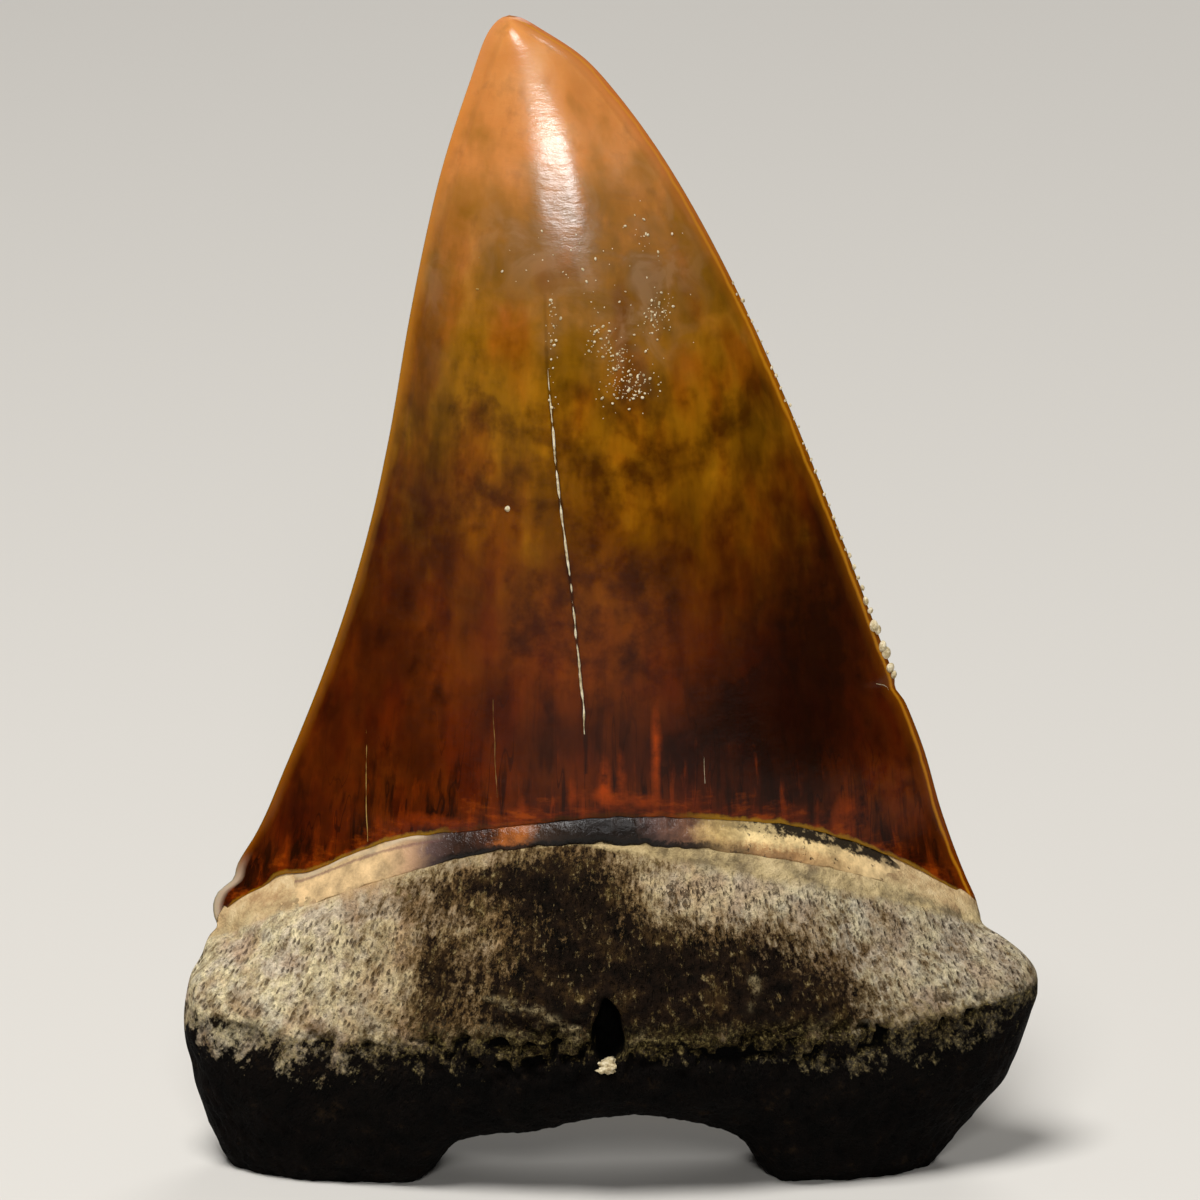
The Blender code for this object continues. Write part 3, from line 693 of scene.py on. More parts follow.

# Painted shade: a dark gap under the enamel's overhang, and a dark line along the bottom of the band over
# the neck in the middle.
enamel_gap_shade = add(t, "Math", [fine, -0.35, band], operation="MULTIPLY_ADD")
gap_wide = add(t, "MapRange", [across_x, 6.0, 14.0, 0.0, 0.16])
enamel_gap_shade = add(t, "Math", [enamel_gap_shade, gap_wide], operation="SUBTRACT")
enamel_gap_shade = add(t, "MapRange", [enamel_gap_shade, 0.12, 0.02])
gap_noise = add(t, "MapRange", [blotch, 0.36, 0.46])
gap_side = add(t, "MapRange", [across_x, 4.0, 8.0])
gap_end = add(t, "MapRange", [across_x, 16.4, 14.8])
for share in (gap_noise, gap_side, gap_end):
    enamel_gap_shade = add(t, "Math", [enamel_gap_shade, share], operation="MULTIPLY")
neck_line_shade = add(t, "Math", [fine, 0.5, band], operation="MULTIPLY_ADD")
neck_line_shade = add(t, "MapRange", [neck_line_shade, 0.96, 1.1, 0.0, 0.92])
middle = add(t, "ValToRGB", [along], stops=((0.24, 0.0), (0.3, 1.0), (0.6, 1.0), (0.68, 0.15)))
neck_line_shade = add(t, "Math", [neck_line_shade, middle], operation="MULTIPLY")

# The crust is cream, with a thin purple-brown line under it.
left = add(t, "MapRange", [across_x, CRUST_TO, CRUST_TO - 1.0])
under_crust = add(t, "Math", [fine, 0.12, band], operation="MULTIPLY_ADD")
under_crust = add(t, "ValToRGB", [under_crust], stops=(
    (0.24, 0.0), (0.28, 1.0), (0.31, 1.0), (0.36, 0.0)))
under_crust = add(t, "Math", [under_crust, left], operation="MULTIPLY")
under_crust = add(t, "Math", [under_crust, 0.6], operation="MULTIPLY")
for share, layer in (
    (spots, "#1f1510"), (enamel_gap_shade, "#2a231a"), (neck_line_shade, "#0c0805"), (under_crust, "#6b4a44"), (crust, "#bda88a"),
):
    colour = add(t, "Mix", [share, colour, layer], data_type="RGBA")

# It is dull where the crust is, and a little uneven all along.
dull = add(t, "MapRange", [across_x, -9.0, -10.5, 0.0, 0.3])
rough = add(t, "MapRange", [fine, 0.3, 0.7, 0.12, 0.26])
rough = add(t, "Math", [rough, dull], operation="ADD")
uneven = add(t, "Math", [blotch, 1.5, fine], operation="MULTIPLY_ADD")
bump = add(t, "Bump", {"Height": uneven, "Strength": 0.55, "Distance": 0.0001})
set_inputs(t, shader, {"Base Color": colour, "Normal": bump, "Roughness": rough, "Specular IOR Level": 0.22})

bourlette = show("bourlette", bourlette_mesh(), polished)
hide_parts("tooth")
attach(bourlette, "root")

# Crown
# The enamel cap, broad and a little bent, flat on the lip side and swollen on the tongue side. Minerals
# have turned it translucent amber, pale at the tip and nearly black low down on the right. Painted shade
# adds to its darkening towards the base.

CROWN_COLUMNS, CROWN_ROWS = 150, 240
CHIP_HEIGHT, CHIP_DEPTH, CHIP_REACH, CHIP_INWARDS = 25.3, 0.22, 0.45, 2.5
EDGE_BEVEL, BEVEL_WIDTH = 0.12, 0.55

# The faces sway a little, the lower edge is wavy and round, and the edges lean, so the way to them across
# the face is shorter than it is level. The rounds of the lower edge are given as drop and inset.
FACE_SWAY, EDGE_WAVE, LEAN = 0.05, 0.1, 0.93
LOWER_ROUNDS = ((0.05, 0.04), (0.08, 0.12), (0.04, 0.24), (-0.7, 0.75))
HAZE_ON_LIP = 0.5

# The worn facet at the tip lies to the right of this line, as height and x.
FACET_LINE = (
    (60.7, -4.4), (60.2, -4.0), (59.2, -2.75), (58.2, -2.42), (56.9, -2.5), (54.9, -1.9), (53.0, -1.1),
    (51.0, -0.6),
)
FACET_SLOPE, FACET_WIDTH = 0.2, 1.6

# Left of it the ridge is worn a little flat: its x at the middle height, its lean to the left, and how deep,
# wide and high the wear is.
WORN_X, WORN_HEIGHT, WORN_LEAN = -3.4, 55.0, 0.14
WORN_DEPTH, WORN_HALF_WIDTH, WORN_HALF_HEIGHT = 0.11, 1.3, 4.2

# Where the enamel is darkest, where it glows, where it is hazy and where grains of rock dust it, as x,
# height, half width, half height and strength. The haze also holds the painted halo beside the highlight.
GLOOM = (
    (9.6, 28.5, 4.6, 5.4, 1.0), (8.4, 23.6, 5.4, 2.6, 1.0), (12.0, 34.5, 2.2, 6.0, 0.55),
    (8.0, 40.5, 1.6, 5.0, 0.3), (-10.2, 37.5, 1.6, 6.0, 0.55), (-7.2, 31.0, 1.8, 2.0, 0.3),
    (-11.4, 31.0, 1.4, 4.0, 0.5), (-2.4, 24.4, 2.6, 1.6, 0.6), (3.4, 23.4, 1.3, 1.8, 0.8),
    (-13.4, 25.5, 1.6, 4.0, 0.5), (-6.6, 25.6, 1.2, 2.4, 0.5), (4.0, 33.0, 1.4, 2.2, 0.3),
    (-16.4, 18.8, 1.6, 1.2, 0.4), (9.5, 20.8, 2.4, 1.0, 0.6), (-9.5, 42.0, 1.0, 3.0, 0.3),
    (-10.0, 22.6, 0.8, 1.8, 0.4), (0.8, 24.6, 0.6, 2.4, 0.5), (6.4, 26.0, 2.0, 2.0, 0.4),
)
GLOW = (
    (-3.6, 30.0, 3.0, 3.6, 0.6), (0.4, 29.0, 2.4, 4.0, 0.55), (-8.4, 28.2, 1.8, 2.6, 0.4),
    (1.0, 38.8, 2.2, 3.0, 0.8), (-5.0, 41.5, 3.0, 2.6, 0.6), (2.6, 30.6, 1.4, 3.0, 0.3),
    (14.0, 20.4, 2.6, 2.4, 0.6), (-8.2, 44.5, 1.4, 4.0, 0.5), (4.8, 46.5, 1.4, 3.0, 0.45),
    (5.6, 37.5, 2.0, 3.5, 0.5), (-12.0, 21.5, 1.2, 2.2, 0.3), (-6.0, 36.0, 2.4, 2.4, 0.4),
    (5.6, 31.5, 1.8, 2.6, 0.15),
)
EMBERS = (
    (-0.34, 22.2, 0.3, 1.2, 1.0), (-0.3, 21.4, 0.9, 0.4, 0.7), (2.3, 23.6, 0.25, 2.4, 1.0),
    (0.5, 22.4, 0.22, 1.4, 0.7), (1.6, 21.2, 1.0, 0.35, 0.8), (-2.1, 21.6, 0.3, 0.8, 0.6),
    (-9.4, 19.6, 1.6, 0.4, 0.7), (-4.6, 20.6, 0.3, 0.8, 0.6), (12.4, 19.4, 1.2, 1.4, 0.5),
)
HAZE_AND_HALO = (
    (-1.6, 51.2, 3.4, 3.0, 0.9), (1.8, 48.4, 2.8, 3.0, 0.85), (-4.6, 50.0, 2.2, 2.4, 0.5),
    (1.0, 45.0, 1.8, 2.0, 0.5), (-3.2, 45.6, 0.7, 2.0, 0.3), (-9.3, 48.0, 0.7, 4.0, 0.5),
    # The last two: the painted halo beside the tip's highlight.
    (-3.9, 58.0, 0.8, 1.7, 0.9), (-2.9, 55.0, 0.9, 1.4, 0.5),
)
DUST = (
    (2.3, 46.3, 0.6, 0.9, 1.0), (-0.7, 45.2, 0.5, 0.8, 0.7), (0.4, 44.2, 0.6, 0.8, 1.0),
    (1.2, 42.8, 0.9, 0.7, 1.0), (-3.1, 45.0, 0.2, 2.4, 0.5), (-0.2, 42.4, 0.5, 0.6, 0.4),
    (1.4, 50.2, 1.6, 0.8, 0.12), (-2.5, 49.0, 2.6, 2.0, 0.04), (0.0, 46.5, 3.0, 3.0, 0.03),
)

# The main crack down the crown, as x and height.
CRACK = (
    (-3.46, 47.6), (-3.31, 43.8), (-3.05, 40.7), (-2.79, 38.05), (-2.42, 34.9), (-2.16, 32.8),
    (-1.8, 29.7), (-1.54, 27.0), (-1.38, 24.7), (-1.34, 22.6),
)


def crown_face(face):
    """One face of the enamel, as rows of points from the tip down and round under its lower edge."""
    u = columns(CROWN_COLUMNS)[None, :]
    s = 2 * u - 1
    inner = 1 - s**8
    edge_z = face.enamel(u)
    edge_x = (left_x(edge_z) + u * (right_x(edge_z) - left_x(edge_z))).ravel().tolist()
    wave = np.array([noise.noise(Vector((x, 0.0, 0.0)) * 1.3) for x in edge_x])
    edge_z = edge_z + EDGE_WAVE * wave * inner
    fall = np.linspace(0.0, 1.0, CROWN_ROWS + 1)[:, None]
    z = TIP_HEIGHT - (TIP_HEIGHT - edge_z) * (0.55 * fall**2 + 0.45 * fall)
    y = face.crown_y(u, z)
    x = left_x(z) + u * (right_x(z) - left_x(z))
    points = np.stack([x, y, z], axis=-1)

    from_left, from_right = x - left_x(z), right_x(z) - x
    from_edge = np.minimum(from_left, from_right) * LEAN
    bevel = EDGE_BEVEL * ease(1.6 * BEVEL_WIDTH, BEVEL_WIDTH, from_edge) * ease(0.0, BEVEL_WIDTH, from_edge)
    sway = FACE_SWAY * noisy(points, (3.5, 3.5, 9.0), 1.0) * ease(0.2, 2.0, from_edge)
    facet = np.zeros_like(x)
    if face.towards < 0:
        past = x - from_tip(FACET_LINE)(z)
        facet = FACET_SLOPE * FACET_WIDTH * ease(0.0, 1.0, past / FACET_WIDTH) * ease(49.5, 54.0, z)
        facet *= ease(0.0, 1.2, from_right)
        across_ridge = (x - WORN_X + WORN_LEAN * (z - WORN_HEIGHT)) / WORN_HALF_WIDTH
        along_ridge = (z - WORN_HEIGHT) / WORN_HALF_HEIGHT
        facet += WORN_DEPTH * np.exp(-(across_ridge**2) - along_ridge**4)
    y -= face.towards * (bevel * ease(TIP_HEIGHT, 60.0, z) + facet) - face.towards * sway

    bite = CHIP_DEPTH * np.exp(-(((z - CHIP_HEIGHT) / CHIP_REACH) ** 2))
    x = x - bite * np.clip(1 - from_right / CHIP_INWARDS, 0, 1)
    points = np.stack([x, y, z], axis=-1)

    crack = x - smooth([(height, place) for place, height in CRACK])(z)
    crack = np.where((z > CRACK[-1][1]) & (z < CRACK[0][1]) & (face.towards < 0), crack, 9.0).clip(-9.0, 9.0)
    crust = ease(16.4, 14.6, z) * ease(0.55, 0.25, from_left)

    lower = points[-1:]
    rounds = []
    for drop, inset in LOWER_ROUNDS:
        turned = lower.copy()
        turned[..., 2] -= drop * inner
        turned[..., 1] -= face.towards * inset * inner
        rounds.append(turned)
    points = np.concatenate([points, *rounds])

    def padded_down(field):
        return np.concatenate([field, np.repeat(field[-1:], len(rounds), axis=0)])

    fields = {
        "above": padded_down(z - edge_z),
        "edge": padded_down(np.minimum(from_edge, 6.0)),
        "right_side": padded_down(ease(-0.2, 0.2, s) * np.ones_like(x)),
        "gloom": padded_down(patches(x, z, GLOOM)),
        "glow": padded_down(patches(x, z, GLOW)),
        "crack": padded_down(crack),
        "crust": padded_down(crust),
        "haze": padded_down(patches(x, z, HAZE_AND_HALO) * (1.0 if face.towards < 0 else HAZE_ON_LIP)),
        "dust": padded_down(patches(x, z, DUST) * (face.towards < 0)),
        "ember": padded_down(patches(x, z, EMBERS) * (face.towards < 0)),
    }
    return points, fields


# Fossil enamel, amber: dense, glassy and a little cloudy inside. Light goes in a millimetre or so and comes
# back orange, and the polished surface gives one sharp highlight with fine ripples across it.
amber, t, shader, mm = new_material("amber fossil enamel")
above, edge, right_side, gloom, glow, haze, ember, crack, crust = (
    add(t, "Attribute", attribute_name=name).outputs["Fac"] for name in (
        "above", "edge", "right_side", "gloom", "glow", "haze", "ember", "crack", "crust"))
xyz = add(t, "SeparateXYZ", [mm])

# Clouds 2 to 4 mm across, wisps drawn out along the tooth, a mottle under 1 mm and long streaks. The
# enamel scatters light, so all but the mottle are soft.
cloud = add(t, "TexNoise", {"Vector": mm, "Scale": 0.34, "Detail": 3.0, "Roughness": 0.5, "Distortion": 0.5})
upright = add(t, "Mapping", {"Vector": mm, "Scale": (1.0, 1.0, 0.4)})
wisp = add(t, "TexNoise", {"Vector": upright, "Scale": 0.8, "Detail": 3.5, "Roughness": 0.55})
mottle = add(t, "TexNoise", {"Vector": mm, "Scale": 1.2, "Detail": 5.0, "Roughness": 0.6})
thin = add(t, "Mapping", {"Vector": mm, "Scale": (1.0, 1.0, 0.06)})
streak = add(t, "TexNoise", {"Vector": thin, "Scale": 1.5, "Detail": 4.0, "Roughness": 0.6})

# The main colour by height, with the clouds shifting it up and down. Its darkening towards the base is
# partly the enamel's own colour and partly painted shade.
height = add(t, "Math", [cloud, 16.0, xyz.outputs[2]], operation="MULTIPLY_ADD")
height = add(t, "Math", [wisp, 8.0, height], operation="MULTIPLY_ADD")
height = add(t, "MapRange", [height, 26.0, 73.0])
colour = add(t, "ValToRGB", [height], stops=(
    (0.0, "#441702"), (0.14, "#501c02"), (0.3, "#552002"), (0.4, "#5c2802"), (0.49, "#6c3b02"),
    (0.6, "#875607"), (0.7, "#8d5b10"), (0.8, "#a56a28"), (0.88, "#c27a3a"), (1.0, "#c88446")))

# Below the tip, olive and red-brown tints drift through it, and it glows through in places.
below_tip = add(t, "MapRange", [xyz.outputs[2], 53.0, 46.0])
tint = add(t, "TexNoise", {"Vector": upright, "Scale": 0.42, "Detail": 2.5, "Roughness": 0.5})
olive = add(t, "MapRange", [tint, 0.48, 0.64, 0.0, 0.7])
olive = add(t, "Math", [olive, below_tip], operation="MULTIPLY")
colour = add(t, "Mix", [olive, colour, "#c4cc2c"], data_type="RGBA", blend_type="MULTIPLY")
russet = add(t, "MapRange", [tint, 0.48, 0.36, 0.0, 0.4])
russet = add(t, "Math", [russet, below_tip], operation="MULTIPLY")
colour = add(t, "Mix", [russet, colour, "#e88c2c"], data_type="RGBA", blend_type="MULTIPLY")
glowing = add(t, "Math", [mottle, 2.6, -0.8], operation="MULTIPLY_ADD")
glowing = add(t, "Math", [glowing, glow], operation="MULTIPLY")
glowing = add(t, "MapRange", [glowing, 0.0, 1.0, 0.0, 0.7])
glows = add(t, "MapRange", [xyz.outputs[2], 30.0, 40.0])
glows = add(t, "Mix", [glows, "#7c3a03", "#916208"], data_type="RGBA")
colour = add(t, "Mix", [glowing, colour, glows], data_type="RGBA")

# Clouds darken and lighten it, most of all in the middle of its height.
cloudy = add(t, "Math", [wisp, 0.8, cloud], operation="MULTIPLY_ADD")
cloudy = add(t, "Math", [mottle, 0.45, cloudy], operation="MULTIPLY_ADD")
cloudy = add(t, "MapRange", [cloudy, 0.87, 1.4])
cloudy = add(t, "ValToRGB", [cloudy], stops=((0.0, 0.4), (0.35, 0.72), (0.6, 1.0), (1.0, 1.35)))
depth = add(t, "MapRange", [xyz.outputs[2], 51.0, 42.0, 0.08, 0.95])
colour = add(t, "Mix", [depth, colour, cloudy], data_type="RGBA", blend_type="MULTIPLY")

# Gloom low on the right and in patches, broken up by the mottle and by upright streaks.
dim = gloom
for layer, strength in ((cloud, 1.2), (mottle, 1.2), (streak, 0.5)):
    dim = add(t, "Math", [layer, strength, dim], operation="MULTIPLY_ADD")
dim = add(t, "MapRange", [dim, 1.5, 2.6, 0.0, 0.88])

# Streaks 0.3 to 1 mm wide stand up from the base, with hairlines between them.
low = add(t, "Math", [wisp, 6.0, above], operation="MULTIPLY_ADD")
low = add(t, "MapRange", [low, 12.0, 4.0])
dark_streak = add(t, "MapRange", [streak, 0.49, 0.38, 0.0, 0.85])
dark_streak = add(t, "Math", [dark_streak, low], operation="MULTIPLY")
bright_streak = add(t, "MapRange", [streak, 0.55, 0.64, 0.0, 0.45])
near_base = add(t, "Math", [mottle, 7.0, above], operation="MULTIPLY_ADD")
near_base = add(t, "MapRange", [near_base, 7.5, 3.5])
bright_streak = add(t, "Math", [bright_streak, near_base], operation="MULTIPLY")
hair = add(t, "TexNoise", {"Vector": thin, "Scale": 0.75, "Detail": 2.0, "Roughness": 0.5})
hair = add(t, "Math", [hair, 0.5, 0.006], operation="COMPARE")
hair = add(t, "Math", [hair, low], operation="MULTIPLY")
hair = add(t, "Math", [hair, 0.65], operation="MULTIPLY")

# Embers: narrow bright uprights, and an orange-red glow under 1 mm high that lies along the base, smoky and
# drawn out sideways.
glowed = add(t, "Math", [mottle, 2.0, -0.3], operation="MULTIPLY_ADD")
glowed = add(t, "Math", [ember, glowed], operation="MULTIPLY")
glowed = add(t, "MapRange", [glowed, 0.12, 0.8, 0.0, 0.9])
sideways = add(t, "Mapping", {"Vector": mm, "Scale": (0.45, 1.0, 1.5)})
smoke = add(t, "TexNoise", {"Vector": sideways, "Scale": 1.1, "Detail": 5.0, "Roughness": 0.65})
lick = add(t, "Math", [smoke, -3.4, above], operation="MULTIPLY_ADD")
lick = add(t, "Math", [streak, -2.4, lick], operation="MULTIPLY_ADD")
lick = add(t, "MapRange", [lick, -1.6, -3.0, 0.0, 0.7])
fire = add(t, "ValToRGB", [smoke], stops=((0.38, "#2c0b01"), (0.5, "#5e1d02"), (0.64, "#8c3a06")))

# A thin yellow hem along the base, on both sides of the middle.
hem = add(t, "Math", [mottle, 0.7, above], operation="MULTIPLY_ADD")
hem = add(t, "MapRange", [hem, 0.6, 0.42, 0.0, 0.9])
hem_side = add(t, "MapRange", [xyz.outputs[0], -20.0, 20.0])
hem_side = add(t, "ValToRGB", [hem_side], stops=(
    (0.0, 0.4), (0.26, 0.8), (0.3, 0.04), (0.58, 0.05), (0.64, 0.9), (1.0, 0.7)))
hem = add(t, "Math", [hem, hem_side], operation="MULTIPLY")

# Milky haze below the tip, grey-brown with paler swirls, and a painted cream halo beside the highlight.
veil = add(t, "TexNoise", {"Vector": mm, "Scale": 0.45, "Detail": 3.0, "Roughness": 0.55, "Distortion": 1.2})
swirl = add(t, "MapRange", [veil, 0.36, 0.6, 0.25, 0.8])
swirl = add(t, "Math", [swirl, haze], operation="MULTIPLY")
veils = add(t, "ValToRGB", [veil], stops=((0.36, "#50432b"), (0.48, "#6b5236"), (0.6, "#866646")))
highlight_halo = add(t, "MapRange", [xyz.outputs[2], 52.5, 55.5])
veils = add(t, "Mix", [highlight_halo, veils, "#dcb48a"], data_type="RGBA")

# Painted glow: the cutting edges are thin enough to glow, shown as an amber rim, wider on the right, that
# fades inwards.
rim_width = add(t, "MapRange", [right_side, 0.0, 1.0, 0.3, 0.6])
rim_width = add(t, "Math", [wisp, 0.5, rim_width], operation="MULTIPLY_ADD")
rim_glow = add(t, "Math", [edge, rim_width], operation="DIVIDE")
rim_glow = add(t, "ValToRGB", [rim_glow], stops=((0.0, 1.0), (0.3, 0.85), (0.55, 0.4), (1.0, 0.0)))
rim_height = add(t, "MapRange", [xyz.outputs[2], 14.0, 61.0])
rim_glow_colour = add(t, "ValToRGB", [rim_height], stops=(
    (0.0, "#6b3605"), (0.25, "#7d4d05"), (0.5, "#8c5c07"), (0.7, "#a06616"), (0.9, "#c47a34"),
    (1.0, "#c27e4a")))
rim_glow = add(t, "Math", [rim_glow, 0.9], operation="MULTIPLY")
deeper = add(t, "Math", [right_side, 0.75], operation="MULTIPLY")
rim_glow_colour = add(t, "Mix", [deeper, rim_glow_colour, "#c9a070"], data_type="RGBA", blend_type="MULTIPLY")

# On the right a painted highlight: a thin bright line just inside the edge, where the bevel gathers
# the light.
bevel_highlight = add(t, "Math", [wisp, 0.3, edge], operation="MULTIPLY_ADD")
bevel_highlight = add(t, "ValToRGB", [bevel_highlight], stops=((0.3, 0.0), (0.38, 1.0), (0.42, 1.0), (0.52, 0.0)))
bevel_highlight = add(t, "Math", [bevel_highlight, right_side], operation="MULTIPLY")
bevel_highlight = add(t, "Math", [bevel_highlight, 0.55], operation="MULTIPLY")

# Dark lines on both sides of the main crack, and the dull cream crust of the left corner.
beside = add(t, "Math", [crack], operation="ABSOLUTE")
beside = add(t, "Math", [mottle, 0.2, beside], operation="MULTIPLY_ADD")
beside = add(t, "MapRange", [beside, 0.24, 0.13, 0.0, 0.7])
opened = add(t, "MapRange", [xyz.outputs[2], 46.0, 40.0, 0.25])
beside = add(t, "Math", [beside, opened], operation="MULTIPLY")

# All of it over the clouds, from the lowest layer up.
for share, layer in (
    (dim, "#130501"), (dark_streak, "#170701"), (bright_streak, "#8a3204"), (hair, "#120501"),
    (glowed, "#963704"), (lick, fire), (hem, "#a07614"), (swirl, veils), (rim_glow, rim_glow_colour),
    (bevel_highlight, "#c08418"), (beside, "#1a0a03"), (crust, "#a2917a"),
):
    colour = add(t, "Mix", [share, colour, layer], data_type="RGBA")

# Ripples 0.35 mm apart cross the tip, and the rest has a faint waviness.
waved = add(t, "Mapping", {"Vector": mm, "Scale": (0.4, 0.4, 1.0)})
ripple = add(t, "TexNoise", {"Vector": waved, "Scale": 2.6, "Detail": 4.0, "Roughness": 0.65})
rippled = add(t, "MapRange", [xyz.outputs[2], 42.0, 52.0, 0.15])
ripple = add(t, "Math", [ripple, rippled], operation="MULTIPLY")
fine = add(t, "Math", [mottle, 0.5, ripple], operation="MULTIPLY_ADD")
bump = add(t, "Bump", {"Height": fine, "Strength": 0.28, "Distance": 0.00007})
rough = add(t, "MapRange", [mottle, 0.3, 0.7, 0.1, 0.16])
rough = add(t, "Math", [crust, 0.5, rough], operation="MULTIPLY_ADD")
gloss = add(t, "MapRange", [xyz.outputs[2], 45.0, 52.0])
worn_tip = add(t, "MapRange", [xyz.outputs[2], 60.6, 59.4])
gloss = add(t, "Math", [gloss, worn_tip], operation="MULTIPLY")
set_inputs(t, shader, {
    "Base Color": colour, "Normal": bump, "Roughness": rough, "IOR": 1.5, "Specular IOR Level": 0.13,
    "Coat Weight": gloss, "Coat Normal": bump, "Coat IOR": 1.63, "Coat Roughness": 0.26,
    "Subsurface Weight": 0.2, "Subsurface Radius": (1.0, 0.4, 0.15), "Subsurface Scale": 0.0005,
})

crown = show("crown", sewn("crown", crown_face(tongue), crown_face(lip), True), amber)
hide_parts("tooth")
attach(crown, "root")

# Serration
# The last of the worn serration on the right cutting edge: cream beads of altered enamel, small and even
# above, larger and broken towards the chip. They grew as part of the edge.

SERRATION_FROM, SERRATION_TO, SERRATION_PITCH, EDGE_STEP = 25.9, 47.4, 0.62, 0.2
LARGE_FROM, LARGE_TO = 33.5, 27.0
BEAD_LARGE, BEAD_SMALL = 0.27, 0.1


def new_tree(name, *sizes):
    """A Geometry Nodes tree with a geometry input and these number inputs, and its input sockets by name."""
    tree = bpy.data.node_groups.new(name, "GeometryNodeTree")
    tree.interface.new_socket("Geometry", in_out="OUTPUT", socket_type="NodeSocketGeometry")
    tree.interface.new_socket("Geometry", in_out="INPUT", socket_type="NodeSocketGeometry")
    for label in sizes:
        kind = "NodeSocketInt" if label == "Seed" else "NodeSocketFloat"
        tree.interface.new_socket(label, in_out="INPUT", socket_type=kind)
    given = add(tree, "NodeGroupInput")
    return tree, {socket.name: socket for socket in given.outputs}


def end_tree(tree, geometry, material):
    real = add(tree, "GeometryNodeRealizeInstances", [geometry])
    coated = add(tree, "GeometryNodeSetMaterial", {"Geometry": real, "Material": material})
    add(tree, "NodeGroupOutput", [coated])


def grown(name, source, tree, **sizes):
    """The plain piece that a tree makes of a source mesh, which isn't kept."""
    seed = bpy.data.objects.new(name + "_source", source)
    bpy.context.scene.collection.objects.link(seed)
    modifier = seed.modifiers.new(name, "NODES")
    modifier.node_group = tree
    for socket in tree.interface.items_tree:
        if socket.name in sizes:
            modifier[socket.identifier] = sizes[socket.name]
    mesh = bpy.data.meshes.new_from_object(seed.evaluated_get(bpy.context.evaluated_depsgraph_get()))
    seed.modifiers.remove(modifier)
    bpy.data.objects.remove(seed)
    mesh.name = name
    mesh.shade_smooth()
    piece = show(name, mesh)
    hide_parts("tooth")
    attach(piece, "root")
    return piece


def threads(name, routes):
    """A mesh of edges along routes, each a list of (x, y, z, width), with the width as an attribute."""
    points = [point for route in routes for point in route]
    edges, first = [], 0
    for route in routes:
        edges += [(first + i, first + i + 1) for i in range(len(route) - 1)]
        first += len(route)
    mesh = bpy.data.meshes.new(name)
    mesh.from_pydata([(x * MM, y * MM, z * MM) for x, y, z, width in points], edges, [])
    mesh.attributes.new("width", "FLOAT", "POINT").data.foreach_set("value", [p[3] for p in points])
    return mesh


# Altered enamel and fine matrix: chalky, cream to grey, without gloss.
chalky, t, shader, mm = new_material("chalky altered enamel")
grain = add(t, "TexNoise", {"Vector": mm, "Scale": 3.2, "Detail": 4.0, "Roughness": 0.7})
colour = add(t, "ValToRGB", [grain], stops=((0.32, "#7d6a4a"), (0.46, "#b8a67e"), (0.6, "#ddd0b0")))

# The hairlines on the left are stained yellow.
leftwards = add(t, "SeparateXYZ", [mm]).outputs[0]
yellowed = add(t, "MapRange", [leftwards, -5.6, -5.8, 0.0, 0.9])
colour = add(t, "Mix", [yellowed, colour, "#94701f"], data_type="RGBA")
bump = add(t, "Bump", {"Height": grain, "Strength": 0.8, "Distance": 0.0001})
set_inputs(t, shader, {"Base Color": colour, "Normal": bump, "Roughness": 0.7, "Specular IOR Level": 0.3})

tree, given = new_tree("serration beads", "Pitch", "Largest", "Seed")
line = add(tree, "GeometryNodeMeshToCurve", [given["Geometry"]])
line = add(tree, "GeometryNodeResampleCurve", {"Curve": line, "Length": given["Pitch"]}, mode="LENGTH")
stray = add(tree, "FunctionNodeRandomValue", {"Min": (-4e-5, -6e-5, -2e-4), "Max": (4e-5, 6e-5, 2e-4),
                                              "Seed": given["Seed"]}, data_type="FLOAT_VECTOR")
line = add(tree, "GeometryNodeSetPosition", {"Geometry": line, "Offset": stray})
width = add(tree, "GeometryNodeInputNamedAttribute", {"Name": "width"}, data_type="FLOAT")
chance = add(tree, "FunctionNodeRandomValue", {"Min": 0.45, "Max": 1.0, "Seed": given["Seed"]},
             data_type="FLOAT")
size = add(tree, "Math", [width, chance], operation="MULTIPLY")
size = add(tree, "Math", [size, given["Largest"]], operation="MULTIPLY")
size = add(tree, "VectorMath", [(0.9, 1.2, 1.5), size], operation="SCALE")
turn = add(tree, "FunctionNodeRandomValue", {"Min": (-0.4, -0.4, 0.0), "Max": (0.4, 0.4, 6.0)},
           data_type="FLOAT_VECTOR")
bead = add(tree, "GeometryNodeMeshIcoSphere", {"Radius": 1.0, "Subdivisions": 3})
beads = add(tree, "GeometryNodeInstanceOnPoints", {
    "Points": line, "Instance": bead, "Rotation": turn, "Scale": size})
end_tree(tree, beads, chalky)

edge_route = []
for z in np.arange(SERRATION_TO, SERRATION_FROM, -EDGE_STEP):
    share = BEAD_SMALL + (BEAD_LARGE - BEAD_SMALL) * float(ease(LARGE_FROM, LARGE_TO, z))
    edge_route.append((float(right_x(z)), float(seam_y(z)), z, share / BEAD_LARGE))
serration = grown("serration", threads("edge line", [edge_route]), tree, Pitch=SERRATION_PITCH * MM,
                  Largest=BEAD_LARGE * MM, Seed=4)

# Crack filling
# A long crack and fine hairlines run down the enamel. They opened as the tooth dried and are filled with
# pale mineral, which stands just proud of the surface and breaks off here and there.

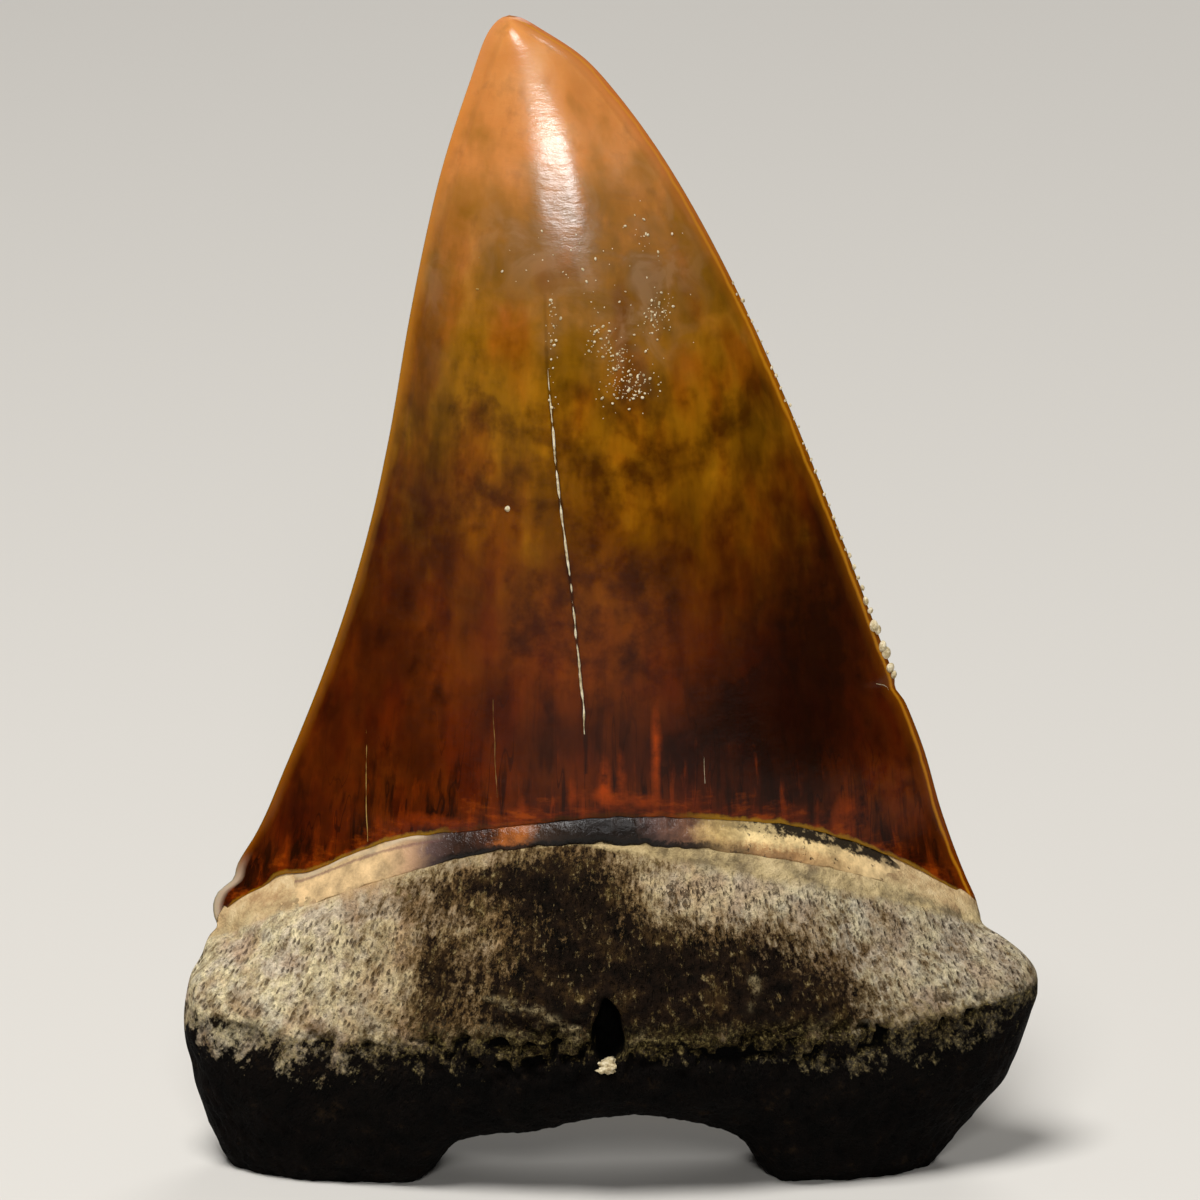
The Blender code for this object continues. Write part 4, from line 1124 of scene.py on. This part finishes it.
# Each crack by its route, as x and height, half its width and the length over which it opens at its top.
CRACKS = (
    (tuple(place for place in CRACK if 24 < place[1] < 44), 0.062, 3.0),
    (((-12.84, 23.7), (-12.86, 21.5), (-12.79, 17.9)), 0.026, 1.2),
    (((-6.17, 26.3), (-6.1, 24.0), (-5.97, 21.1)), 0.013, 1.2),
    (((-3.46, 26.0), (-3.3, 24.0), (-3.26, 22.2)), 0.013, 1.2),
    (((4.82, 23.5), (4.87, 21.9)), 0.012, 1.2),
    (((13.95, 25.75), (14.35, 25.6), (14.62, 25.2)), 0.05, 1.2),
)
CRACK_STEP, CRACK_SUNK, CRACK_CLOSING = 0.15, 0.01, 0.8


def on_crown(x, z):
    """Y of the tongue face of the crown at a place."""
    u = (x - left_x(z)) / (right_x(z) - left_x(z))
    return float(tongue.crown_y(u, z))


tree, given = new_tree("mineral vein", "Breaks", "Thickness")
line = add(tree, "GeometryNodeMeshToCurve", [given["Geometry"]])
where = add(tree, "GeometryNodeInputPosition")
where = add(tree, "VectorMath", [where, 1000.0], operation="SCALE")
broken = add(tree, "TexNoise", {"Vector": where, "Scale": given["Breaks"], "Detail": 3.0, "Roughness": 0.6})
broken = add(tree, "MapRange", [broken, 0.4, 0.54, 0.2, 1.15])
width = add(tree, "GeometryNodeInputNamedAttribute", {"Name": "width"}, data_type="FLOAT")
width = add(tree, "Math", [width, broken], operation="MULTIPLY")
width = add(tree, "Math", [width, given["Thickness"]], operation="MULTIPLY")
ring = add(tree, "GeometryNodeCurvePrimitiveCircle", {"Resolution": 6, "Radius": 1.0})
vein = add(tree, "GeometryNodeCurveToMesh", {
    "Curve": line, "Profile Curve": ring, "Scale": width, "Fill Caps": True})
end_tree(tree, vein, chalky)

routes = []
for route, width, opening in CRACKS:
    run = smooth([(z, x) for x, z in route])
    heights = np.arange(route[0][1], route[-1][1], -CRACK_STEP)
    sway = [0.05 * noise.noise((z / 1.3, width * 90, 0)) for z in heights]
    xs = [float(run(z)) + bend for z, bend in zip(heights, sway)]
    open_top = ease(0.0, opening, route[0][1] - heights)
    taper = open_top * ease(0.0, CRACK_CLOSING, heights - route[-1][1] + CRACK_STEP)
    routes.append([
        (x, on_crown(x, z) + CRACK_SUNK, z, width * (0.4 + 0.6 * fade))
        for x, z, fade in zip(xs, heights, taper)
    ])
crack_filling = grown("crack_filling", threads("cracks", routes), tree, Breaks=1.1, Thickness=MM)

# Dust
# Grains of rock from the matrix stay stuck to the enamel, in a few swarms below the haze and thinly round
# them. They are what remains after cleaning.

DUST_DENSITY, DUST_LARGE = 38.0, 0.085

tree, given = new_tree("stuck grains", "Density", "Largest", "Seed")
share = add(tree, "GeometryNodeInputNamedAttribute", {"Name": "dust"}, data_type="FLOAT")
density = add(tree, "Math", [share, given["Density"]], operation="MULTIPLY")
spots = add(tree, "GeometryNodeDistributePointsOnFaces", {"Mesh": given["Geometry"], "Density": density,
                                                          "Seed": given["Seed"]})
chance = add(tree, "FunctionNodeRandomValue", {"Min": 0.0, "Max": 1.0, "Seed": given["Seed"]},
             data_type="FLOAT")
chance = add(tree, "Math", [chance, 3.0], operation="POWER")
size = add(tree, "MapRange", [chance, 0.0, 1.0, 0.3, 1.0])
size = add(tree, "Math", [size, given["Largest"]], operation="MULTIPLY")
grain = add(tree, "GeometryNodeMeshIcoSphere", {"Radius": 1.0, "Subdivisions": 2})
turn = add(tree, "FunctionNodeRandomValue", {"Max": (6.0, 6.0, 6.0)}, data_type="FLOAT_VECTOR")
size = add(tree, "VectorMath", [(1.0, 0.7, 1.3), size], operation="SCALE")
grains = add(tree, "GeometryNodeInstanceOnPoints", {
    "Points": spots, "Instance": grain, "Rotation": turn, "Scale": size})
end_tree(tree, grains, chalky)
dust = grown("dust", crown.data.copy(), tree, Density=DUST_DENSITY / MM**2, Largest=DUST_LARGE * MM, Seed=11)

# Matrix crumbs
# A crumb of pale matrix is stuck on the crest under the nutrient hole, and a tiny round one sits on the
# enamel left of the crack.

# Each crumb by its name, middle, half sizes and how lumpy it is.
CRUMBS = (
    ("crumb", (-0.25, -5.8, 7.7), (0.72, 0.7, 0.36), 0.5),
    ("white_grain", (-5.39, None, 36.33), (0.15, 0.1, 0.16), 0.1),
)
for name, (x, y, z), radii, lumpiness in CRUMBS:
    ball = bmesh.new()
    bmesh.ops.create_icosphere(ball, subdivisions=4, radius=1.0)
    for vertex in ball.verts:
        lump = noise.noise(vertex.co * 1.6 + Vector((2, 0, 5))) + 0.5 * noise.noise(vertex.co * 4.1)
        vertex.co *= 1 + lumpiness * lump
        vertex.co = Vector(c * radius for c, radius in zip(vertex.co, radii))
        vertex.co = (vertex.co + Vector((x, on_crown(x, z) if y is None else y, z))) * MM
    mesh = bpy.data.meshes.new(name)
    ball.to_mesh(mesh)
    ball.free()
    mesh.shade_smooth()
    crumb = show(name, mesh, chalky)
    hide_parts("tooth")
    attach(crumb, "root")

# Floor
# A plain pale sheet that the tooth stands on, wide enough to fill the view behind it.
FLOOR_HALF = 3.0
mesh = bpy.data.meshes.new("floor")
mesh.from_pydata([(-FLOOR_HALF, -FLOOR_HALF, 0), (FLOOR_HALF, -FLOOR_HALF, 0), (FLOOR_HALF, FLOOR_HALF, 0),
                  (-FLOOR_HALF, FLOOR_HALF, 0)], [], [(0, 1, 2, 3)])
paper = bpy.data.materials.new("pale matt card")
paper.use_nodes = True
set_inputs(paper.node_tree, paper.node_tree.nodes["Principled BSDF"], {
    "Base Color": "#cfcbc4", "Roughness": 0.9, "Specular IOR Level": 0.1})
floor = show("floor", mesh, paper)
floor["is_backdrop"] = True

# Light and camera
# A soft key light stands high, in front and to the left, a small soft lamp in front makes the highlight on
# the tip, a wide weak one lights the lip side, and the room gives very little. The long lens looks down by
# 15 degrees.


def lamp(name, azimuth, elevation, distance, width, height, power, aim):
    data = bpy.data.lights.new(name, "AREA")
    data.shape, data.size, data.size_y, data.energy = "ELLIPSE", width, height, power
    item = bpy.data.objects.new(name, data)
    a, e = math.radians(azimuth), math.radians(elevation)
    back = Vector((math.sin(a) * math.cos(e), -math.cos(a) * math.cos(e), math.sin(e)))
    item.location = Vector(aim) * MM + back * distance
    item.rotation_euler = back.to_track_quat("Z", "Y").to_euler()
    bpy.context.scene.collection.objects.link(item)


lamp("key", -26, 66, 0.7, 0.3, 0.3, 5.5, (0, 0, 25))
lamp("tip light", 1, 26, 1.0, 0.2, 0.22, 3.0, (-3, 0, 55))
lamp("back fill", 165, 40, 0.9, 0.5, 0.5, 2.2, (0, 0, 25))

world = bpy.data.worlds.new("studio")
world.use_nodes = True
set_inputs(world.node_tree, world.node_tree.nodes["Background"], {"Color": "#cfccc8", "Strength": 0.08})
bpy.context.scene.world = world
bpy.context.scene.view_settings.view_transform = "Standard"

LENS, ELEVATION, DISTANCE = 291.0, math.radians(15), 0.505
TARGET = Vector((-0.6, 0.0, 31.3)) * MM
camera = bpy.data.objects.new("camera", bpy.data.cameras.new("camera"))
camera.data.lens, camera.data.sensor_width = LENS, 36.0
camera.data.clip_start = 0.01
back = Vector((0, -math.cos(ELEVATION), math.sin(ELEVATION)))
camera.location = TARGET + back * DISTANCE
camera.rotation_euler = back.to_track_quat("Z", "Y").to_euler()
bpy.context.scene.collection.objects.link(camera)
bpy.context.scene.camera = camera

low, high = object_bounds()
